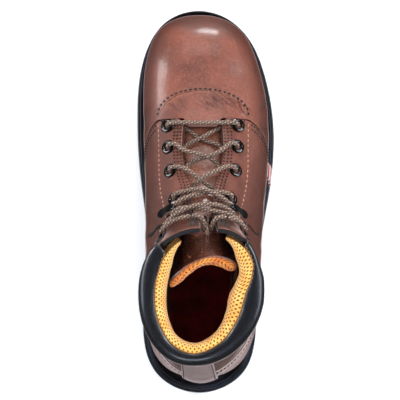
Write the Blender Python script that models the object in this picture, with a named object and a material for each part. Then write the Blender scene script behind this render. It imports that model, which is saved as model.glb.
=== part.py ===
"""Steel toe work boot for the right foot, six-inch lace-up shaft, as separate closed parts.

Run: blender --background --python part.py

Frame: metres, +X to the outer (lateral) side, +Y towards the toe, +Z up.  The origin is on the
ground at the middle of the heel's tread.  Lengths below are in millimetres unless a name says not.

The upper is one smooth "last" surface that every leather, lining and stiffener panel follows.  A
place on it is (q, g, d): q runs along the top centre line from the toe tip to the collar, g is the
distance sideways from that line, negative on the inner (medial) side, and d is the layer, positive
outwards from the leather's nominal outer face.
"""

import math

import bmesh
import bpy
import numpy as np
from mathutils import Vector

MM = 0.001

# ---------------------------------------------------------------- driving dimensions
SOLE_OUTLINE = [  # widest plan outline of the sole, toe tip first, then down the outer side
    (-3, 264.5), (22, 258.5), (40, 242), (53, 212), (60, 165), (56, 115), (48, 65), (46, 20), (36, -27),
    (0, -44.5), (-36, -28), (-46.5, 15), (-43, 70), (-49, 135), (-51, 180), (-46, 226), (-28, 255.5),
]  # fmt: skip
FEATHER_INSET = ([-44, 0, 40, 100, 200, 266], [13.0, 12, 10.5, 8.5, 8.5, 5.2])  # sole edge to upper
FEATHER_HEIGHT = ([-44, 0, 40, 80, 120, 160, 200, 235, 266], [41, 40, 38.5, 35, 30.5, 28, 28, 31, 36.5])
TOE_DOME_REAR, TOE_DOME_HEIGHT = 205.0, 84.5
INSTEP_LINE = [(192, 86), (171, 90.5), (150, 98.5), (126, 111), (106, 126), (94, 142.5), (87, 160), (82, 178)]
BACK_LINE = [(-30.5, 41), (-29.4, 64), (-26.6, 88), (-21, 111), (-14.8, 132), (-11.5, 158)]
BACK_SHIFT = -4.0  # the shaft's top is turned so that its back sits this far to the inner side
# how much leaner behind and fuller in front the collar's outer side is, as superellipse powers
COLLAR_LEAN_BEHIND, COLLAR_FULL_FRONT = 0.3, 0.7
HEEL_U, FAN_U = 0.6, 0.2  # the ring that ends at the heel's back, and where rings start to lean
CENTRE_X = 2.0  # the lacing runs a little outside the boot's middle
HALF_WIDTH_U = [0, 0.1, 0.15, 0.2, 0.25, 0.3, 0.35, 0.4, 0.45, 0.5, 0.6, 0.7, 0.8, 0.9, 1.0]
INNER_HALF_WIDTH = [20, 36, 43.5, 46, 45.5, 44, 43.3, 43, 42.7, 42.5, 41.5, 40.5, 40, 40, 40.5]
OUTER_HALF_WIDTH = [20, 37.5, 46.7, 53.3, 54.5, 52.5, 49.8, 48, 47, 46, 44.5, 43.2, 42.3, 42, 42.3]

LEATHER = 1.9
OVERLAY = 1.6
GAP = 0.3
LINING_FACE, LINING_THICK = -2.6, 0.9  # outer face of the lining beside the lacing
LINING_LOW = -3.7  # and further down the sides
LINING_DEEP = -6.6  # and inside the stiffeners
STIFFENER = (-3.5, -5.0)  # outer and inner face of the heel counter and the steel cap
BUSHING = 2.9  # bore radius of a lace eyelet
EYELET_T = [165, 149, 132.4, 113]
EYELET_G = [27, 26.5, 25, 22]
HOOK_T = [100.5, 90.0]
HOOK_G = [24.5, 33.0]
LACE_RADIUS = 1.8
LACE_SLACK = 0.4  # how far the cord's facets may stray from its smooth path
TOE_CAP_REAR = 205.0
PLUG_APEX, THROAT, PLUG_HALF = 192.5, 170.5, 36.0
FACING_EDGE = ([171, 165, 149, 132, 118, 105, 95, 82], [14, 14.5, 15.5, 13.5, 9.5, 7.5, 6.5, 6.5])
SEAM_FOOT_Y = 105.0  # where the vamp seam reaches the sole
PAD_G, COVER_G = 22.0, 33.0  # where the collar's padding and its black cover start
COLLAR_DEPTH = 28.0
FACING_SHIFT = 4.5  # the facings' top corners sit this far to the outer side
WAIST_REAR, WAIST_FRONT = 38.0, 86.0  # the arched part of the sole, between heel and forefoot tread
WAIST_HEIGHT = 12.0  # how far its underside arches above the ground
TOE_SPRING_START, TOE_SPRING_LENGTH, TOE_SPRING = 200.0, 66.0, 13.0
LIP = 3.6  # how far the midsole's lip rises above the upper's lower edge


# ---------------------------------------------------------------- curves
def spline(xs, ys):
    """Natural cubic spline through the points; ys may have several columns."""
    xs, ys = np.asarray(xs, float), np.asarray(ys, float)
    n = len(xs)
    flat = ys.reshape(n, -1)
    h = np.diff(xs)
    system, right = np.eye(n), np.zeros_like(flat)
    for i in range(1, n - 1):
        system[i, i - 1 : i + 2] = h[i - 1], 2 * (h[i - 1] + h[i]), h[i]
        right[i] = 6 * ((flat[i + 1] - flat[i]) / h[i] - (flat[i] - flat[i - 1]) / h[i - 1])
    bend = np.linalg.solve(system, right)

    def value(x):
        x = np.clip(np.asarray(x, float), xs[0], xs[-1])
        i = np.clip(np.searchsorted(xs, x, side="right") - 1, 0, n - 2)
        left, gone, step = (xs[i + 1] - x)[..., None], (x - xs[i])[..., None], h[i][..., None]
        out = (bend[i] * left**3 + bend[i + 1] * gone**3) / (6 * step)
        out += (flat[i] / step - bend[i] * step / 6) * left
        out += (flat[i + 1] / step - bend[i + 1] * step / 6) * gone
        return out.reshape(x.shape + ys.shape[1:])

    return value


def lengths(points):
    """Distance along a polyline to each of its points."""
    return np.concatenate([[0], np.cumsum(np.linalg.norm(np.diff(points, axis=0), axis=1))])


def through(points, count):
    """count points, evenly spaced along the smooth curve through the points."""
    points = np.asarray(points, float)
    curve = spline(lengths(points), points)
    dense = curve(np.linspace(0, lengths(points)[-1], 40 * len(points)))
    along = lengths(dense)
    even = np.linspace(0, along[-1], count)
    return np.stack([np.interp(even, along, column) for column in dense.T], axis=1)


def closed_curve(points, count):
    """count points round the smooth closed curve through the points."""
    points = np.asarray(points, float)
    n, lap = len(points), 4
    ring = np.concatenate([points[-lap:], points, points[:lap]])
    t = lengths(ring)
    return spline(t, ring)(np.linspace(t[lap], t[lap + n], count, endpoint=False))


def step(x, start, end):
    """0 before start, 1 after end, smooth between."""
    x = np.clip((np.asarray(x, float) - start) / (end - start), 0, 1)
    return x * x * (3 - 2 * x)


inset_at = spline(*FEATHER_INSET)
feather_height = spline(*FEATHER_HEIGHT)
facing_edge = spline(FACING_EDGE[0][::-1], FACING_EDGE[1][::-1])
OUTLINE = closed_curve(SOLE_OUTLINE, 720)


def inward(points):
    """Unit normals that point into a closed, clockwise plan outline."""
    along = np.roll(points, -1, axis=0) - np.roll(points, 1, axis=0)
    normal = np.stack([along[:, 1], -along[:, 0]], axis=1)
    return normal / np.linalg.norm(normal, axis=1)[:, None]


def inset_outline(amount):
    """The sole outline moved inwards by amount, a number or a function of y."""
    by = amount(OUTLINE[:, 1]) if callable(amount) else amount
    return OUTLINE + inward(OUTLINE) * np.reshape(by, (-1, 1))


def sides(outline, y):
    """x of an outline's inner and outer side at each y."""
    tip, heel = outline[:, 1].argmax(), outline[:, 1].argmin()
    ring = np.roll(outline, -tip, axis=0)
    heel = (heel - tip) % len(outline)
    outer, inner = ring[: heel + 1][::-1], np.concatenate([ring[heel:], ring[:1]])
    return np.interp(y, inner[:, 1], inner[:, 0]), np.interp(y, outer[:, 1], outer[:, 0])


# ---------------------------------------------------------------- the last surface
LAYERS = np.arange(-24.0, 9.0, 4.0)
U_COUNT, V_SIDE, RING_SAMPLES = 161, 40, 70


def offset_profile(points, d):
    """A side-view polyline moved by d along its normal, which points away from the foot."""
    along = np.gradient(points, axis=0)
    normal = np.stack([along[:, 1], -along[:, 0]], axis=1)
    return points + d * normal / np.linalg.norm(normal, axis=1)[:, None]


def top_profile():
    """Side-view polyline (y, z) from the toe tip over the instep to the collar's front."""
    tip = OUTLINE[:, 1].max() - inset_at(266)
    base = float(feather_height(tip))
    turn = np.linspace(math.pi / 2, 0, 9)
    dome_y = TOE_DOME_REAR + (tip - TOE_DOME_REAR) * np.sin(turn) ** (2 / 2.6)
    dome_z = base + (TOE_DOME_HEIGHT - base) * np.cos(turn) ** (2 / 2.2)
    return through(np.concatenate([np.stack([dome_y, dome_z], axis=1), INSTEP_LINE]), 500)


TOP = top_profile()
TOP_LENGTH = lengths(TOP)
BACK = through(BACK_LINE, 120)


def q_at(t):
    """Distance along the top centre line at which it passes y = t."""
    return np.interp(-np.asarray(t, float), -TOP[:, 0], TOP_LENGTH)


def rear_share(u):
    return np.clip((np.asarray(u) - HEEL_U) / (1 - HEEL_U), 0, 1)


def foot_y(u, tip, heel):
    """y where the ring at u meets the sole, for rings in front of the heel's back."""
    turn = math.pi * np.clip(np.asarray(u) / HEEL_U, 0, 1)
    return heel + (tip - heel) * (1 + np.cos(turn)) / 2


U = np.linspace(0, 1, U_COUNT)
TIP_Y, HEEL_Y = inset_outline(inset_at)[:, 1].max(), inset_outline(inset_at)[:, 1].min()
FAN_Q = float(q_at(foot_y(FAN_U, TIP_Y, HEEL_Y)))
FAN_STEPS = ([0.2, 0.25, 0.3, 0.4, 0.5, 0.6, 0.8, 1.0], [0, 0.19, 0.32, 0.47, 0.565, 0.65, 0.82, 1.0])


def ring_q(u):
    """Distance along the top centre line at which the ring at u crosses it."""
    straight = q_at(foot_y(u, TIP_Y, HEEL_Y))
    leaning = FAN_Q + spline(*FAN_STEPS)(u) * (TOP_LENGTH[-1] - FAN_Q)
    return np.where(u <= FAN_U, straight, leaning)


RING_Q = ring_q(U)


def quarter_arc(power):
    """Unit superellipse quarter from (1, 0) to (0, 1)."""
    turn = np.linspace(0, math.pi / 2, RING_SAMPLES)
    return np.cos(turn) ** (2 / power), np.sin(turn) ** (2 / power)


def ring_side(foot, widest, top, belly, height, low_power, high_power):
    """(x, s) polyline up one side of a ring, resampled evenly: foot to widest point to top."""
    cos_low, sin_low = quarter_arc(low_power)
    cos_high, sin_high = quarter_arc(high_power)
    x = [foot + (widest - foot) * cos_low[::-1], top + (widest - top) * cos_high]
    s = [belly * (1 - sin_low[::-1]), belly + (height - belly) * sin_high]
    points = np.stack([np.concatenate(x), np.concatenate(s)], axis=1)
    along = lengths(points)
    even = np.linspace(0, along[-1], V_SIDE + 1)
    return np.stack([np.interp(even, along, column) for column in points.T], axis=1), along[-1]


def build_layer(d):
    """Points of the last surface at layer d: U_COUNT rings of 2 * V_SIDE + 1 points."""
    outline = inset_outline(lambda y: inset_at(y) - d)
    tip, heel = outline[:, 1].max(), outline[:, 1].min()
    tip_x = outline[outline[:, 1].argmax(), 0]
    top, back = offset_profile(TOP, d), offset_profile(BACK[::-1], d)[::-1]
    rear = rear_share(U)
    foot = foot_y(U, tip, heel)
    foot_z = feather_height(foot)
    back += ([heel, feather_height(heel)] - back[0]) * (1 - np.linspace(0, 1, len(back))[:, None]) ** 4
    share = np.linspace(0, 1, len(back))
    low_y = np.where(rear > 0, np.interp(rear, share, back[:, 0]), foot)
    low_z = np.where(rear > 0, np.interp(rear, share, back[:, 1]), foot_z)
    straight = np.interp(-low_y, -top[:, 0], TOP_LENGTH)
    at = np.where(U <= FAN_U, straight, RING_Q)
    nudge = step(U, 0.15, FAN_U)
    at = np.where(U <= FAN_U, straight * (1 - nudge) + RING_Q * nudge, at)
    high_y, high_z = np.interp(at, TOP_LENGTH, top[:, 0]), np.interp(at, TOP_LENGTH, top[:, 1])
    inner_foot, outer_foot = sides(outline, foot)
    blend = step(U, 0.12, 0.3)
    bulge = 3.5 * step(U, 0, 0.1)
    centre = tip_x + (CENTRE_X - tip_x) * step(U, 0, FAN_U)
    belly_share = spline([0, 0.2, 0.3, 0.4, 0.5, 0.6, 1.0], [0.3, 0.3, 0.35, 0.42, 0.46, 0.48, 0.5])(U)
    low_power = spline([0, 0.2, 0.4, 0.6, 0.8, 1.0], [2, 2, 1.85, 1.8, 2, 2.1])(U)
    high_power = spline([0, 0.2, 0.3, 0.4, 0.6, 1.0], [2.5, 2.35, 2.2, 2.1, 2.1, 2.15])(U)
    at_top = step(U, HEEL_U, 1.0)
    low_powers = [low_power, low_power - COLLAR_LEAN_BEHIND * at_top]
    high_powers = [high_power, high_power + COLLAR_FULL_FRONT * at_top]
    widths = [spline(HALF_WIDTH_U, w)(U) for w in (INNER_HALF_WIDTH, OUTER_HALF_WIDTH)]
    points = np.zeros((U_COUNT, 2 * V_SIDE + 1, 3))
    girths = np.zeros((U_COUNT, 2))
    for i in range(U_COUNT):
        rise = np.array([high_y[i] - low_y[i], high_z[i] - low_z[i]])
        height = np.linalg.norm(rise)
        for side, foot_x in ((0, inner_foot[i]), (1, outer_foot[i])):
            sign = (-1, 1)[side]
            foot_x = BACK_SHIFT * rear[i] ** 2 if rear[i] > 0 or i == 0 else foot_x
            near_toe = foot_x + sign * bulge[i]
            widest = (1 - blend[i]) * near_toe + blend[i] * sign * (widths[side][i] + d)
            if i == 0:
                points[i] = tip_x, tip, low_z[0]
                girths[i] = 1e-3
                continue
            belly = belly_share[i] * height
            powers = low_powers[side][i], high_powers[side][i]
            line, girth = ring_side(foot_x, widest, centre[i], belly, height, *powers)
            low, up = np.array([low_y[i], low_z[i]]), rise / height
            rows = np.column_stack([line[:, 0], low + line[:, 1:] * up])
            girths[i, side] = girth
            if side == 0:
                points[i, : V_SIDE + 1] = rows
            else:
                points[i, V_SIDE:] = rows[::-1]
    return points, girths


GRID = [build_layer(d) for d in LAYERS]
POINTS = np.stack([points for points, _ in GRID])
GIRTH = GRID[list(LAYERS).index(0.0)][1]


def cubic_weights(f):
    """Catmull-Rom weights of the four samples round a fraction f."""
    return np.stack(
        [
            -0.5 * f + f**2 - 0.5 * f**3,
            1 - 2.5 * f**2 + 1.5 * f**3,
            0.5 * f + 2 * f**2 - 1.5 * f**3,
            -0.5 * f**2 + 0.5 * f**3,
        ]
    )


def last(u, v, d):
    """Points on the last surface, in mm. u is 0 at the toe tip and 1 at the collar, v is -1 to 1."""
    u, v, d = np.broadcast_arrays(*(np.asarray(a, float) for a in (u, v, d)))
    a = np.clip(u, 0, 1) * (U_COUNT - 1)
    b = (np.clip(v, -1, 1) + 1) * V_SIDE
    c = np.clip((d - LAYERS[0]) / (LAYERS[1] - LAYERS[0]), 0, len(LAYERS) - 1.0001)
    i, j, k = np.minimum(a.astype(int), U_COUNT - 2), np.minimum(b.astype(int), 2 * V_SIDE - 1), c.astype(int)
    wu, wv = cubic_weights(a - i), cubic_weights(b - j)
    out = np.zeros(u.shape + (3,))
    for layer, weight in ((k, 1 - (c - k)), (k + 1, c - k)):
        for m in range(4):
            row = np.clip(i + m - 1, 0, U_COUNT - 1)
            for n in range(4):
                column = np.clip(j + n - 1, 0, 2 * V_SIDE)
                share = (weight * wu[m] * wv[n])[..., None]
                out += share * POINTS[layer, row, column]
    return out


def uv_at(q, g):
    """(u, v) of the place q along the top line and g sideways from it."""
    q, g = np.broadcast_arrays(np.asarray(q, float), np.asarray(g, float))
    u = np.interp(q, RING_Q, U)
    inner, outer = np.interp(u, U, GIRTH[:, 0]), np.interp(u, U, GIRTH[:, 1])
    return u, np.clip(np.where(g < 0, g / inner, g / outer), -1, 1)


def spot(q, g, d):
    return last(*uv_at(q, g), d)


def u_of_foot(y):
    """The ring that meets the sole at y."""
    return np.interp(-np.asarray(y, float), -foot_y(U[: int(HEEL_U * (U_COUNT - 1)) + 1], TIP_Y, HEEL_Y),
                     U[: int(HEEL_U * (U_COUNT - 1)) + 1])


def depth_to_u(v, depth):
    """The ring that lies depth below the collar's top edge along the line of constant v."""
    v, depth = np.broadcast_arrays(np.asarray(v, float), np.asarray(depth, float))
    found = np.empty(v.shape)
    for place in np.ndindex(v.shape):
        line = last(U[::-1], v[place], 0)
        found[place] = np.interp(depth[place], lengths(line), U[::-1])
    return found


# ---------------------------------------------------------------- materials and meshes
def material(name, colour, roughness, metallic=0.0):
    made = bpy.data.materials.new(name)
    made.use_nodes = True
    shader = made.node_tree.nodes["Principled BSDF"]
    shader.inputs["Base Color"].default_value = (*colour, 1)
    shader.inputs["Roughness"].default_value = roughness
    shader.inputs["Metallic"].default_value = metallic
    return made


def clear_scene():
    for obj in list(bpy.data.objects):
        bpy.data.objects.remove(obj)


def mesh_object(name, points, faces, paint):
    """A named object from points in mm, with equal points merged and its faces turned outwards."""
    mesh = bpy.data.meshes.new(name)
    work = bmesh.new()
    keys, corners = {}, []
    for p in np.asarray(points, float):
        key = tuple(np.round(p, 3))
        if key not in keys:
            keys[key] = work.verts.new(Vector(p) * MM)
        corners.append(keys[key])
    for face in faces:
        ring = [corners[i] for i in face]
        ring = [a for a, b in zip(ring, ring[1:] + ring[:1]) if a is not b]
        if len(set(ring)) == len(ring) >= 3 and work.faces.get(ring) is None:
            work.faces.new(ring)
    bmesh.ops.recalc_face_normals(work, faces=work.faces)
    if work.calc_volume(signed=True) < 0:
        bmesh.ops.reverse_faces(work, faces=work.faces)
    work.to_mesh(mesh)
    work.free()
    mesh.shade_smooth()
    mesh.set_sharp_from_angle(angle=math.radians(40))
    obj = bpy.data.objects.new(name, mesh)
    bpy.context.scene.collection.objects.link(obj)
    if paint is not None:
        mesh.materials.append(paint)
    return obj


def sheet_faces(rows, columns, start=0, flip=False):
    faces = []
    for i in range(rows - 1):
        for j in range(columns - 1):
            a = start + i * columns + j
            quad = (a, a + 1, a + columns + 1, a + columns)
            faces.append(quad[::-1] if flip else quad)
    return faces


def slab(name, outer, inner, paint):
    """A closed sheet between two grids of points of the same shape."""
    rows, columns = outer.shape[:2]
    count = rows * columns
    faces = sheet_faces(rows, columns) + sheet_faces(rows, columns, count, flip=True)
    edge = [i * columns for i in range(rows)]
    edge += [(rows - 1) * columns + j for j in range(1, columns)]
    edge += [i * columns + columns - 1 for i in range(rows - 2, -1, -1)]
    edge += [j for j in range(columns - 2, 0, -1)]
    for a, b in zip(edge, edge[1:] + edge[:1]):
        faces.append((a, b, b + count, a + count))
    return mesh_object(name, np.concatenate([outer.reshape(-1, 3), inner.reshape(-1, 3)]), faces, paint)


def panel(name, u, v, outer, inner, paint):
    """A panel of the upper over a grid of (u, v), between two layers."""
    return slab(name, last(u, v, outer), last(u, v, inner), paint)


def sweep(name, sections, paint):
    """A closed solid through sections of equal length, capped at both ends."""
    count, around = len(sections), len(sections[0])
    faces = []
    for i in range(count - 1):
        for j in range(around):
            a, b = i * around + j, i * around + (j + 1) % around
            faces.append((a, b, b + around, a + around))
    faces.append(tuple(range(around)))
    faces.append(tuple((count - 1) * around + j for j in reversed(range(around))))
    return mesh_object(name, np.concatenate(sections), faces, paint)


def tube(name, path, radius, around, paint, tip_radius=None):
    """A round cord along a polyline, with frames carried along it without twist."""
    path = np.asarray(path, float)
    along = np.gradient(path, axis=0)
    along /= np.linalg.norm(along, axis=1)[:, None]
    side = np.cross(along[0], [0.3, 0.2, 1.0])
    sections = []
    for i, (point, direction) in enumerate(zip(path, along)):
        side = side - direction * (side @ direction)
        side /= np.linalg.norm(side)
        other = np.cross(direction, side)
        turn = np.linspace(0, 2 * math.pi, around, endpoint=False)[:, None]
        size = radius if tip_radius is None else radius + (tip_radius - radius) * i / (len(path) - 1)
        sections.append(point + size * (np.cos(turn) * side + np.sin(turn) * other))
    return sweep(name, sections, paint)


def turned(name, profile, around, place, paint):
    """A closed ring turned from an (r, height) profile about a fitting's axis."""
    turns = 2 * math.pi * np.arange(around) / around
    sections = [np.array([place(r * math.cos(a), r * math.sin(a), h) for r, h in profile]) for a in turns]
    count = len(profile)
    faces = []
    for k in range(around):
        for j in range(count):
            a, b = k * count + j, k * count + (j + 1) % count
            c = (k + 1) % around * count
            faces.append((a, b, c + (j + 1) % count, c + j))
    return mesh_object(name, np.concatenate(sections), faces, paint)


def rings(name, profile, around, place, paint):
    """A closed solid through round sections, from an (r, height) list along a fitting's axis."""
    turns = 2 * math.pi * np.arange(around) / around
    sections = [np.array([place(r * math.cos(a), r * math.sin(a), h) for a in turns]) for r, h in profile]
    return sweep(name, sections, paint)


def combine(obj, other, operation):
    modifier = obj.modifiers.new(operation.lower(), "BOOLEAN")
    modifier.operation = operation
    modifier.object = other
    other.hide_render = True
    other.display_type = "WIRE"


def seat(q, g):
    """Frame of a fitting on the facings, as a function from mm to a point.

    Its arguments are away from the lacing gap, up the facing and out of the leather.
    """
    side, reach = (1 if g > 0 else -1), 1.5
    centre = spot(q, g, 0)
    away = side * (spot(q, g + reach, 0) - spot(q, g - reach, 0))
    up = spot(q + reach, g, 0) - spot(q - reach, g, 0)
    out = side * np.cross(up, away)
    up, out = up / np.linalg.norm(up), out / np.linalg.norm(out)
    away = side * np.cross(out, up)
    out = out * np.sign(out @ (spot(q, g, 4) - spot(q, g, -4)))
    away = away * np.sign(away @ (spot(q, g + side * reach, 0) - centre))
    return lambda a, b, c: centre + a * away + b * up + c * out


# ---------------------------------------------------------------- the sole unit
def stations():
    """y stations of the sole, close together at the rounded ends and at the heel breast."""
    tip, heel = OUTLINE[:, 1].max(), OUTLINE[:, 1].min()
    turn = np.linspace(0, math.pi, 19)[1:-1]
    spaced = heel + (tip - heel) * (1 + np.cos(turn)) / 2
    keep = [y for y in spaced if all(abs(y - edge) > 5 for edge in (WAIST_REAR, WAIST_FRONT))]
    fixed = [WAIST_REAR, WAIST_REAR + 1.5, WAIST_FRONT - 3, WAIST_FRONT]
    return np.array(sorted(keep + fixed, reverse=True))


STATIONS = stations()


def loop(inset, height):
    """A loop of points round the sole: toe tip, down the outer side, heel, up the inner side."""
    normals = inward(OUTLINE)
    tip, heel = OUTLINE[:, 1].argmax(), OUTLINE[:, 1].argmin()
    inner_x, outer_x = sides(OUTLINE, STATIONS)
    outer, inner = np.column_stack([outer_x, STATIONS]), np.column_stack([inner_x, STATIONS])[::-1]
    rows = np.concatenate([[OUTLINE[tip]], outer, [OUTLINE[heel]], inner])
    nearest = [np.argmin(np.linalg.norm(OUTLINE - r, axis=1)) for r in rows]
    amount = inset(rows[:, 1]) if callable(inset) else np.full(len(rows), float(inset))
    moved = rows + normals[nearest] * amount[:, None]
    z = height(moved[:, 1]) if callable(height) else np.full(len(rows), float(height))
    return np.column_stack([moved, z])


def stack(name, loops, paint):
    """A closed solid through loops from the top inner one round to the bottom one."""
    around = len(loops[0])
    faces = []
    for i in range(len(loops) - 1):
        for j in range(around):
            a, b = i * around + j, i * around + (j + 1) % around
            faces.append((a, b, b + around, a + around))
    for start in (0, (len(loops) - 1) * around):
        for j in range(around // 2):
            strip = [j, j + 1, (around - j - 1) % around, (around - j) % around]
            strip = list(dict.fromkeys(strip))
            if len(strip) >= 3:
                faces.append(tuple(start + k for k in strip))
    return mesh_object(name, np.concatenate(loops), faces, paint)


def ground(y):
    """Height of the tread's contact surface: flat heel and forefoot, arched waist, toe spring."""
    y = np.asarray(y, float)
    spring = TOE_SPRING * (np.clip(y - TOE_SPRING_START, 0, None) / TOE_SPRING_LENGTH) ** 2
    return np.where(in_waist(y), WAIST_HEIGHT, spring)


def in_waist(y):
    return (y > WAIST_REAR + 0.5) & (y < WAIST_FRONT - 1)


LUG_HEIGHT, LUG_PITCH, LUG_LENGTH, LUG_GROOVE, LUG_LEAN = 5.0, 16.2, 10.5, 4.0, 2.2


def tread_root(y):
    """Height of the surface that the lugs stand on."""
    y = np.asarray(y, float)
    return np.where(in_waist(y), WAIST_HEIGHT, ground(y) + LUG_HEIGHT)


sole_split = spline([-44, 30, 60, 100, 150, 200, 240, 266], [14, 15, 18.5, 13, 11, 11.5, 17, 26])
cup_gap = spline([-44, 0, 60, 110, 235, 266], [4.6, 4.9, 5.0, 3.9, 3.4, 2.2])  # upper's foot line to the lip
lip_flare = spline([-44, 0, 50, 100, 266], [4.0, 3.6, 2.0, 0.6, 0.6])  # the heel's wall leans out


BOARD_THICK = 2.0


def board_height(y):
    """Top of the insole board, just under the upper's foot line."""
    return feather_height(y) - GAP


def floor_height(y):
    """Bottom of the midsole's cup, just under the insole board."""
    return board_height(y) - BOARD_THICK - GAP


def make_midsole(paint):
    inner = lambda y: inset_at(y) - cup_gap(y)  # noqa: E731
    bead = lambda y: lip_flare(y) - 0.2  # noqa: E731
    loops = [
        loop(inner, floor_height),
        loop(inner, lambda y: feather_height(y) + LIP - 0.8),
        loop(lambda y: (inner(y) + lip_flare(y)) / 2, lambda y: feather_height(y) + LIP),
        loop(lambda y: lip_flare(y) + 0.5, lambda y: feather_height(y) + LIP - 0.8),
        loop(bead, lambda y: feather_height(y) - 1.0),
        loop(lambda y: lip_flare(y) * 0.8 + 0.8, lambda y: 0.55 * feather_height(y) + 0.45 * sole_split(y)),
        loop(0.6, lambda y: sole_split(y) + 1.2),
        loop(1.4, sole_split),
    ]
    return stack("midsole", loops, paint)


def lug_boxes():
    """Corner lists of the tread's lugs in plan: chevron rows under forefoot and heel."""
    boxes = []
    for start, count in ((-2 * LUG_PITCH, 5), (94.0, 10)):  # the heel's middle row sits on the origin
        for row in range(count):
            y = start + row * LUG_PITCH
            left, right = sides(inset_outline(3.5), np.array([y]))
            left, right = float(left[0]), float(right[0])
            lanes = 4 if start > 0 and right - left > 75 else 3
            width = (right - left - LUG_GROOVE * (lanes - 1)) / lanes
            for lane in range(lanes):
                x0 = left + lane * (width + LUG_GROOVE)
                lean = LUG_LEAN * (lane - (lanes - 1) / 2) / ((lanes - 1) / 2)
                low = y - LUG_LENGTH / 2 - abs(lean)
                boxes.append((x0, x0 + width, low, low + LUG_LENGTH, lean))
    return boxes


def make_outsole(paint):
    loops = [
        loop(1.4, lambda y: sole_split(y) - GAP),
        loop(0.2, lambda y: sole_split(y) - GAP - 1.2),
        loop(0.0, lambda y: np.maximum(tread_root(y) + 1.5, ground(y) + 4)),
        loop(1.8, tread_root),
    ]
    body = stack("outsole", loops, paint)
    points, faces = [], []
    rim = inset_outline(2.4)
    for x0, x1, y0, y1, lean in lug_boxes():
        base = len(points)
        tilt = lean / 2
        for x, y in ((x0, y0 + tilt), (x1, y0 - tilt), (x1, y1 - tilt), (x0, y1 + tilt)):
            low, high = sides(rim, np.array([np.clip(y, rim[:, 1].min() + 1, rim[:, 1].max() - 1)]))
            x = float(np.clip(x, low[0], high[0]))
            points.append((x, y, float(ground(y))))
            points.append((x, y, float(tread_root(y)) + 1.0))
        ring = [0, 2, 4, 6]
        faces.append(tuple(base + k for k in ring))
        faces.append(tuple(base + k + 1 for k in reversed(ring)))
        for a, b in zip(ring, ring[1:] + ring[:1]):
            faces.append((base + a, base + a + 1, base + b + 1, base + b))
    lugs = mesh_object("tread_lugs_tool", points, faces, None)
    combine(body, lugs, "UNION")
    return body


def plate(name, inset, top, bottom, paint):
    return stack(name, [loop(inset, top), loop(inset, bottom)], paint)


def strip(name, half_width, y_first, y_last, top, bottom, paint, count=9):
    """A curved flat bar along the sole's middle."""
    y = np.linspace(y_first, y_last, count)
    sections = []
    for at in y:
        high, low = float(top(at)), float(bottom(at))
        corners = ((-half_width, high), (half_width, high), (half_width, low), (-half_width, low))
        sections.append(np.array([(x, at, z) for x, z in corners]))
    return sweep(name, sections, paint)


def make_footbed(paint):
    """Removable footbed: flat underneath, with a shallow heel cup and arch rise."""
    under = lambda y: board_height(y) + GAP  # noqa: E731
    edge = lambda y: inset_at(y) + 10.3 + 1.6 * step(-y, -25, 10)  # noqa: E731
    inside = lambda y: edge(y) + 2.2  # noqa: E731
    rise = spline([-44, 0, 60, 110, 150, 266], [9, 8, 7, 5, 4, 4])
    loops = [
        loop(inside, lambda y: under(y) + 4.0),
        loop(lambda y: edge(y) + 0.8, lambda y: under(y) + rise(y)),
        loop(edge, lambda y: under(y) + rise(y) - 1.0),
        loop(edge, under),
    ]
    return stack("footbed", loops, paint)


# ---------------------------------------------------------------- the upper's panels
COUNTER_FRONT_Y, COUNTER_TOP_U = 26.0, 0.785  # front foot and top of the heel counter's leather cover
COVER_LOW, COVER_EXTRA_LOW, COVER_THICK = 1.5, 0.9, 1.2  # the cover's inner layer, and its rise at the sole
STIFFENER_FRONT_Y, STIFFENER_TOP_U = 30.0, 0.75
BACKSTAY_THICK = 1.4


def arc_curve(count, t_apex, t_ends, half):
    """(q, g) of the plug's curved front edge, an ellipse from one corner to the other."""
    turn = np.linspace(-math.pi / 2, math.pi / 2, count)
    g = half * np.sin(turn)
    t = t_ends + (t_apex - t_ends) * np.cos(turn)
    return q_at(t), g


def seam_curve(side, count, first_g, first_t):
    """(u, v) of the vamp's seam from the throat's corner down to the sole, on one side."""
    start_u, start_v = uv_at(q_at(first_t), side * first_g)
    end_u = u_of_foot(SEAM_FOOT_Y)
    share = np.linspace(0, 1, count)
    return start_u + (end_u - start_u) * share**1.3, start_v + (side - start_v) * share


def cover_depth(g):
    """Depth of the collar's black cover below the top edge, g from the top centre."""
    return 7 * step(np.abs(g), COVER_G - 3, COVER_G + 2) + (COLLAR_DEPTH - 7) * step(np.abs(g), COVER_G, 80)


def pad_depth(g):
    """Depth of the padding and its mesh below the top edge, g from the top centre."""
    return 10 + (COLLAR_DEPTH - 10) * step(np.abs(g), PAD_G + 2, 76)


def top_girth(side):
    return GIRTH[-1, 0 if side < 0 else 1]


def collar_line(v, extra=0.0):
    """(u, v) just under the collar along the given v."""
    v = np.asarray(v, float)
    g = np.abs(v) * np.where(v < 0, top_girth(-1), top_girth(1))
    return depth_to_u(v, cover_depth(g) + extra), v


def make_vamp(paint):
    arc_q, arc_g = arc_curve(13, PLUG_APEX, THROAT + 1.0, PLUG_HALF)
    arc_u, arc_v = uv_at(arc_q, arc_g)
    inner_u, inner_v = seam_curve(-1, 7, PLUG_HALF + GAP, THROAT + 0.6)
    outer_u, outer_v = seam_curve(1, 7, PLUG_HALF + GAP, THROAT + 0.6)
    rear_u = np.concatenate([inner_u[::-1], arc_u[1:-1], outer_u])
    rear_v = np.concatenate([inner_v[::-1], arc_v[1:-1], outer_v])
    rear_v[0], rear_v[-1] = -1, 1
    front = (np.zeros_like(rear_u), rear_v)
    rows = 11
    share = np.linspace(0, 1, rows)[:, None] ** 1.15
    u, v = (front[0] * (1 - share) + rear_u * share), np.repeat(rear_v[None], rows, axis=0)
    return panel("vamp", u, v, 0.0, -LEATHER, paint)


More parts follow.
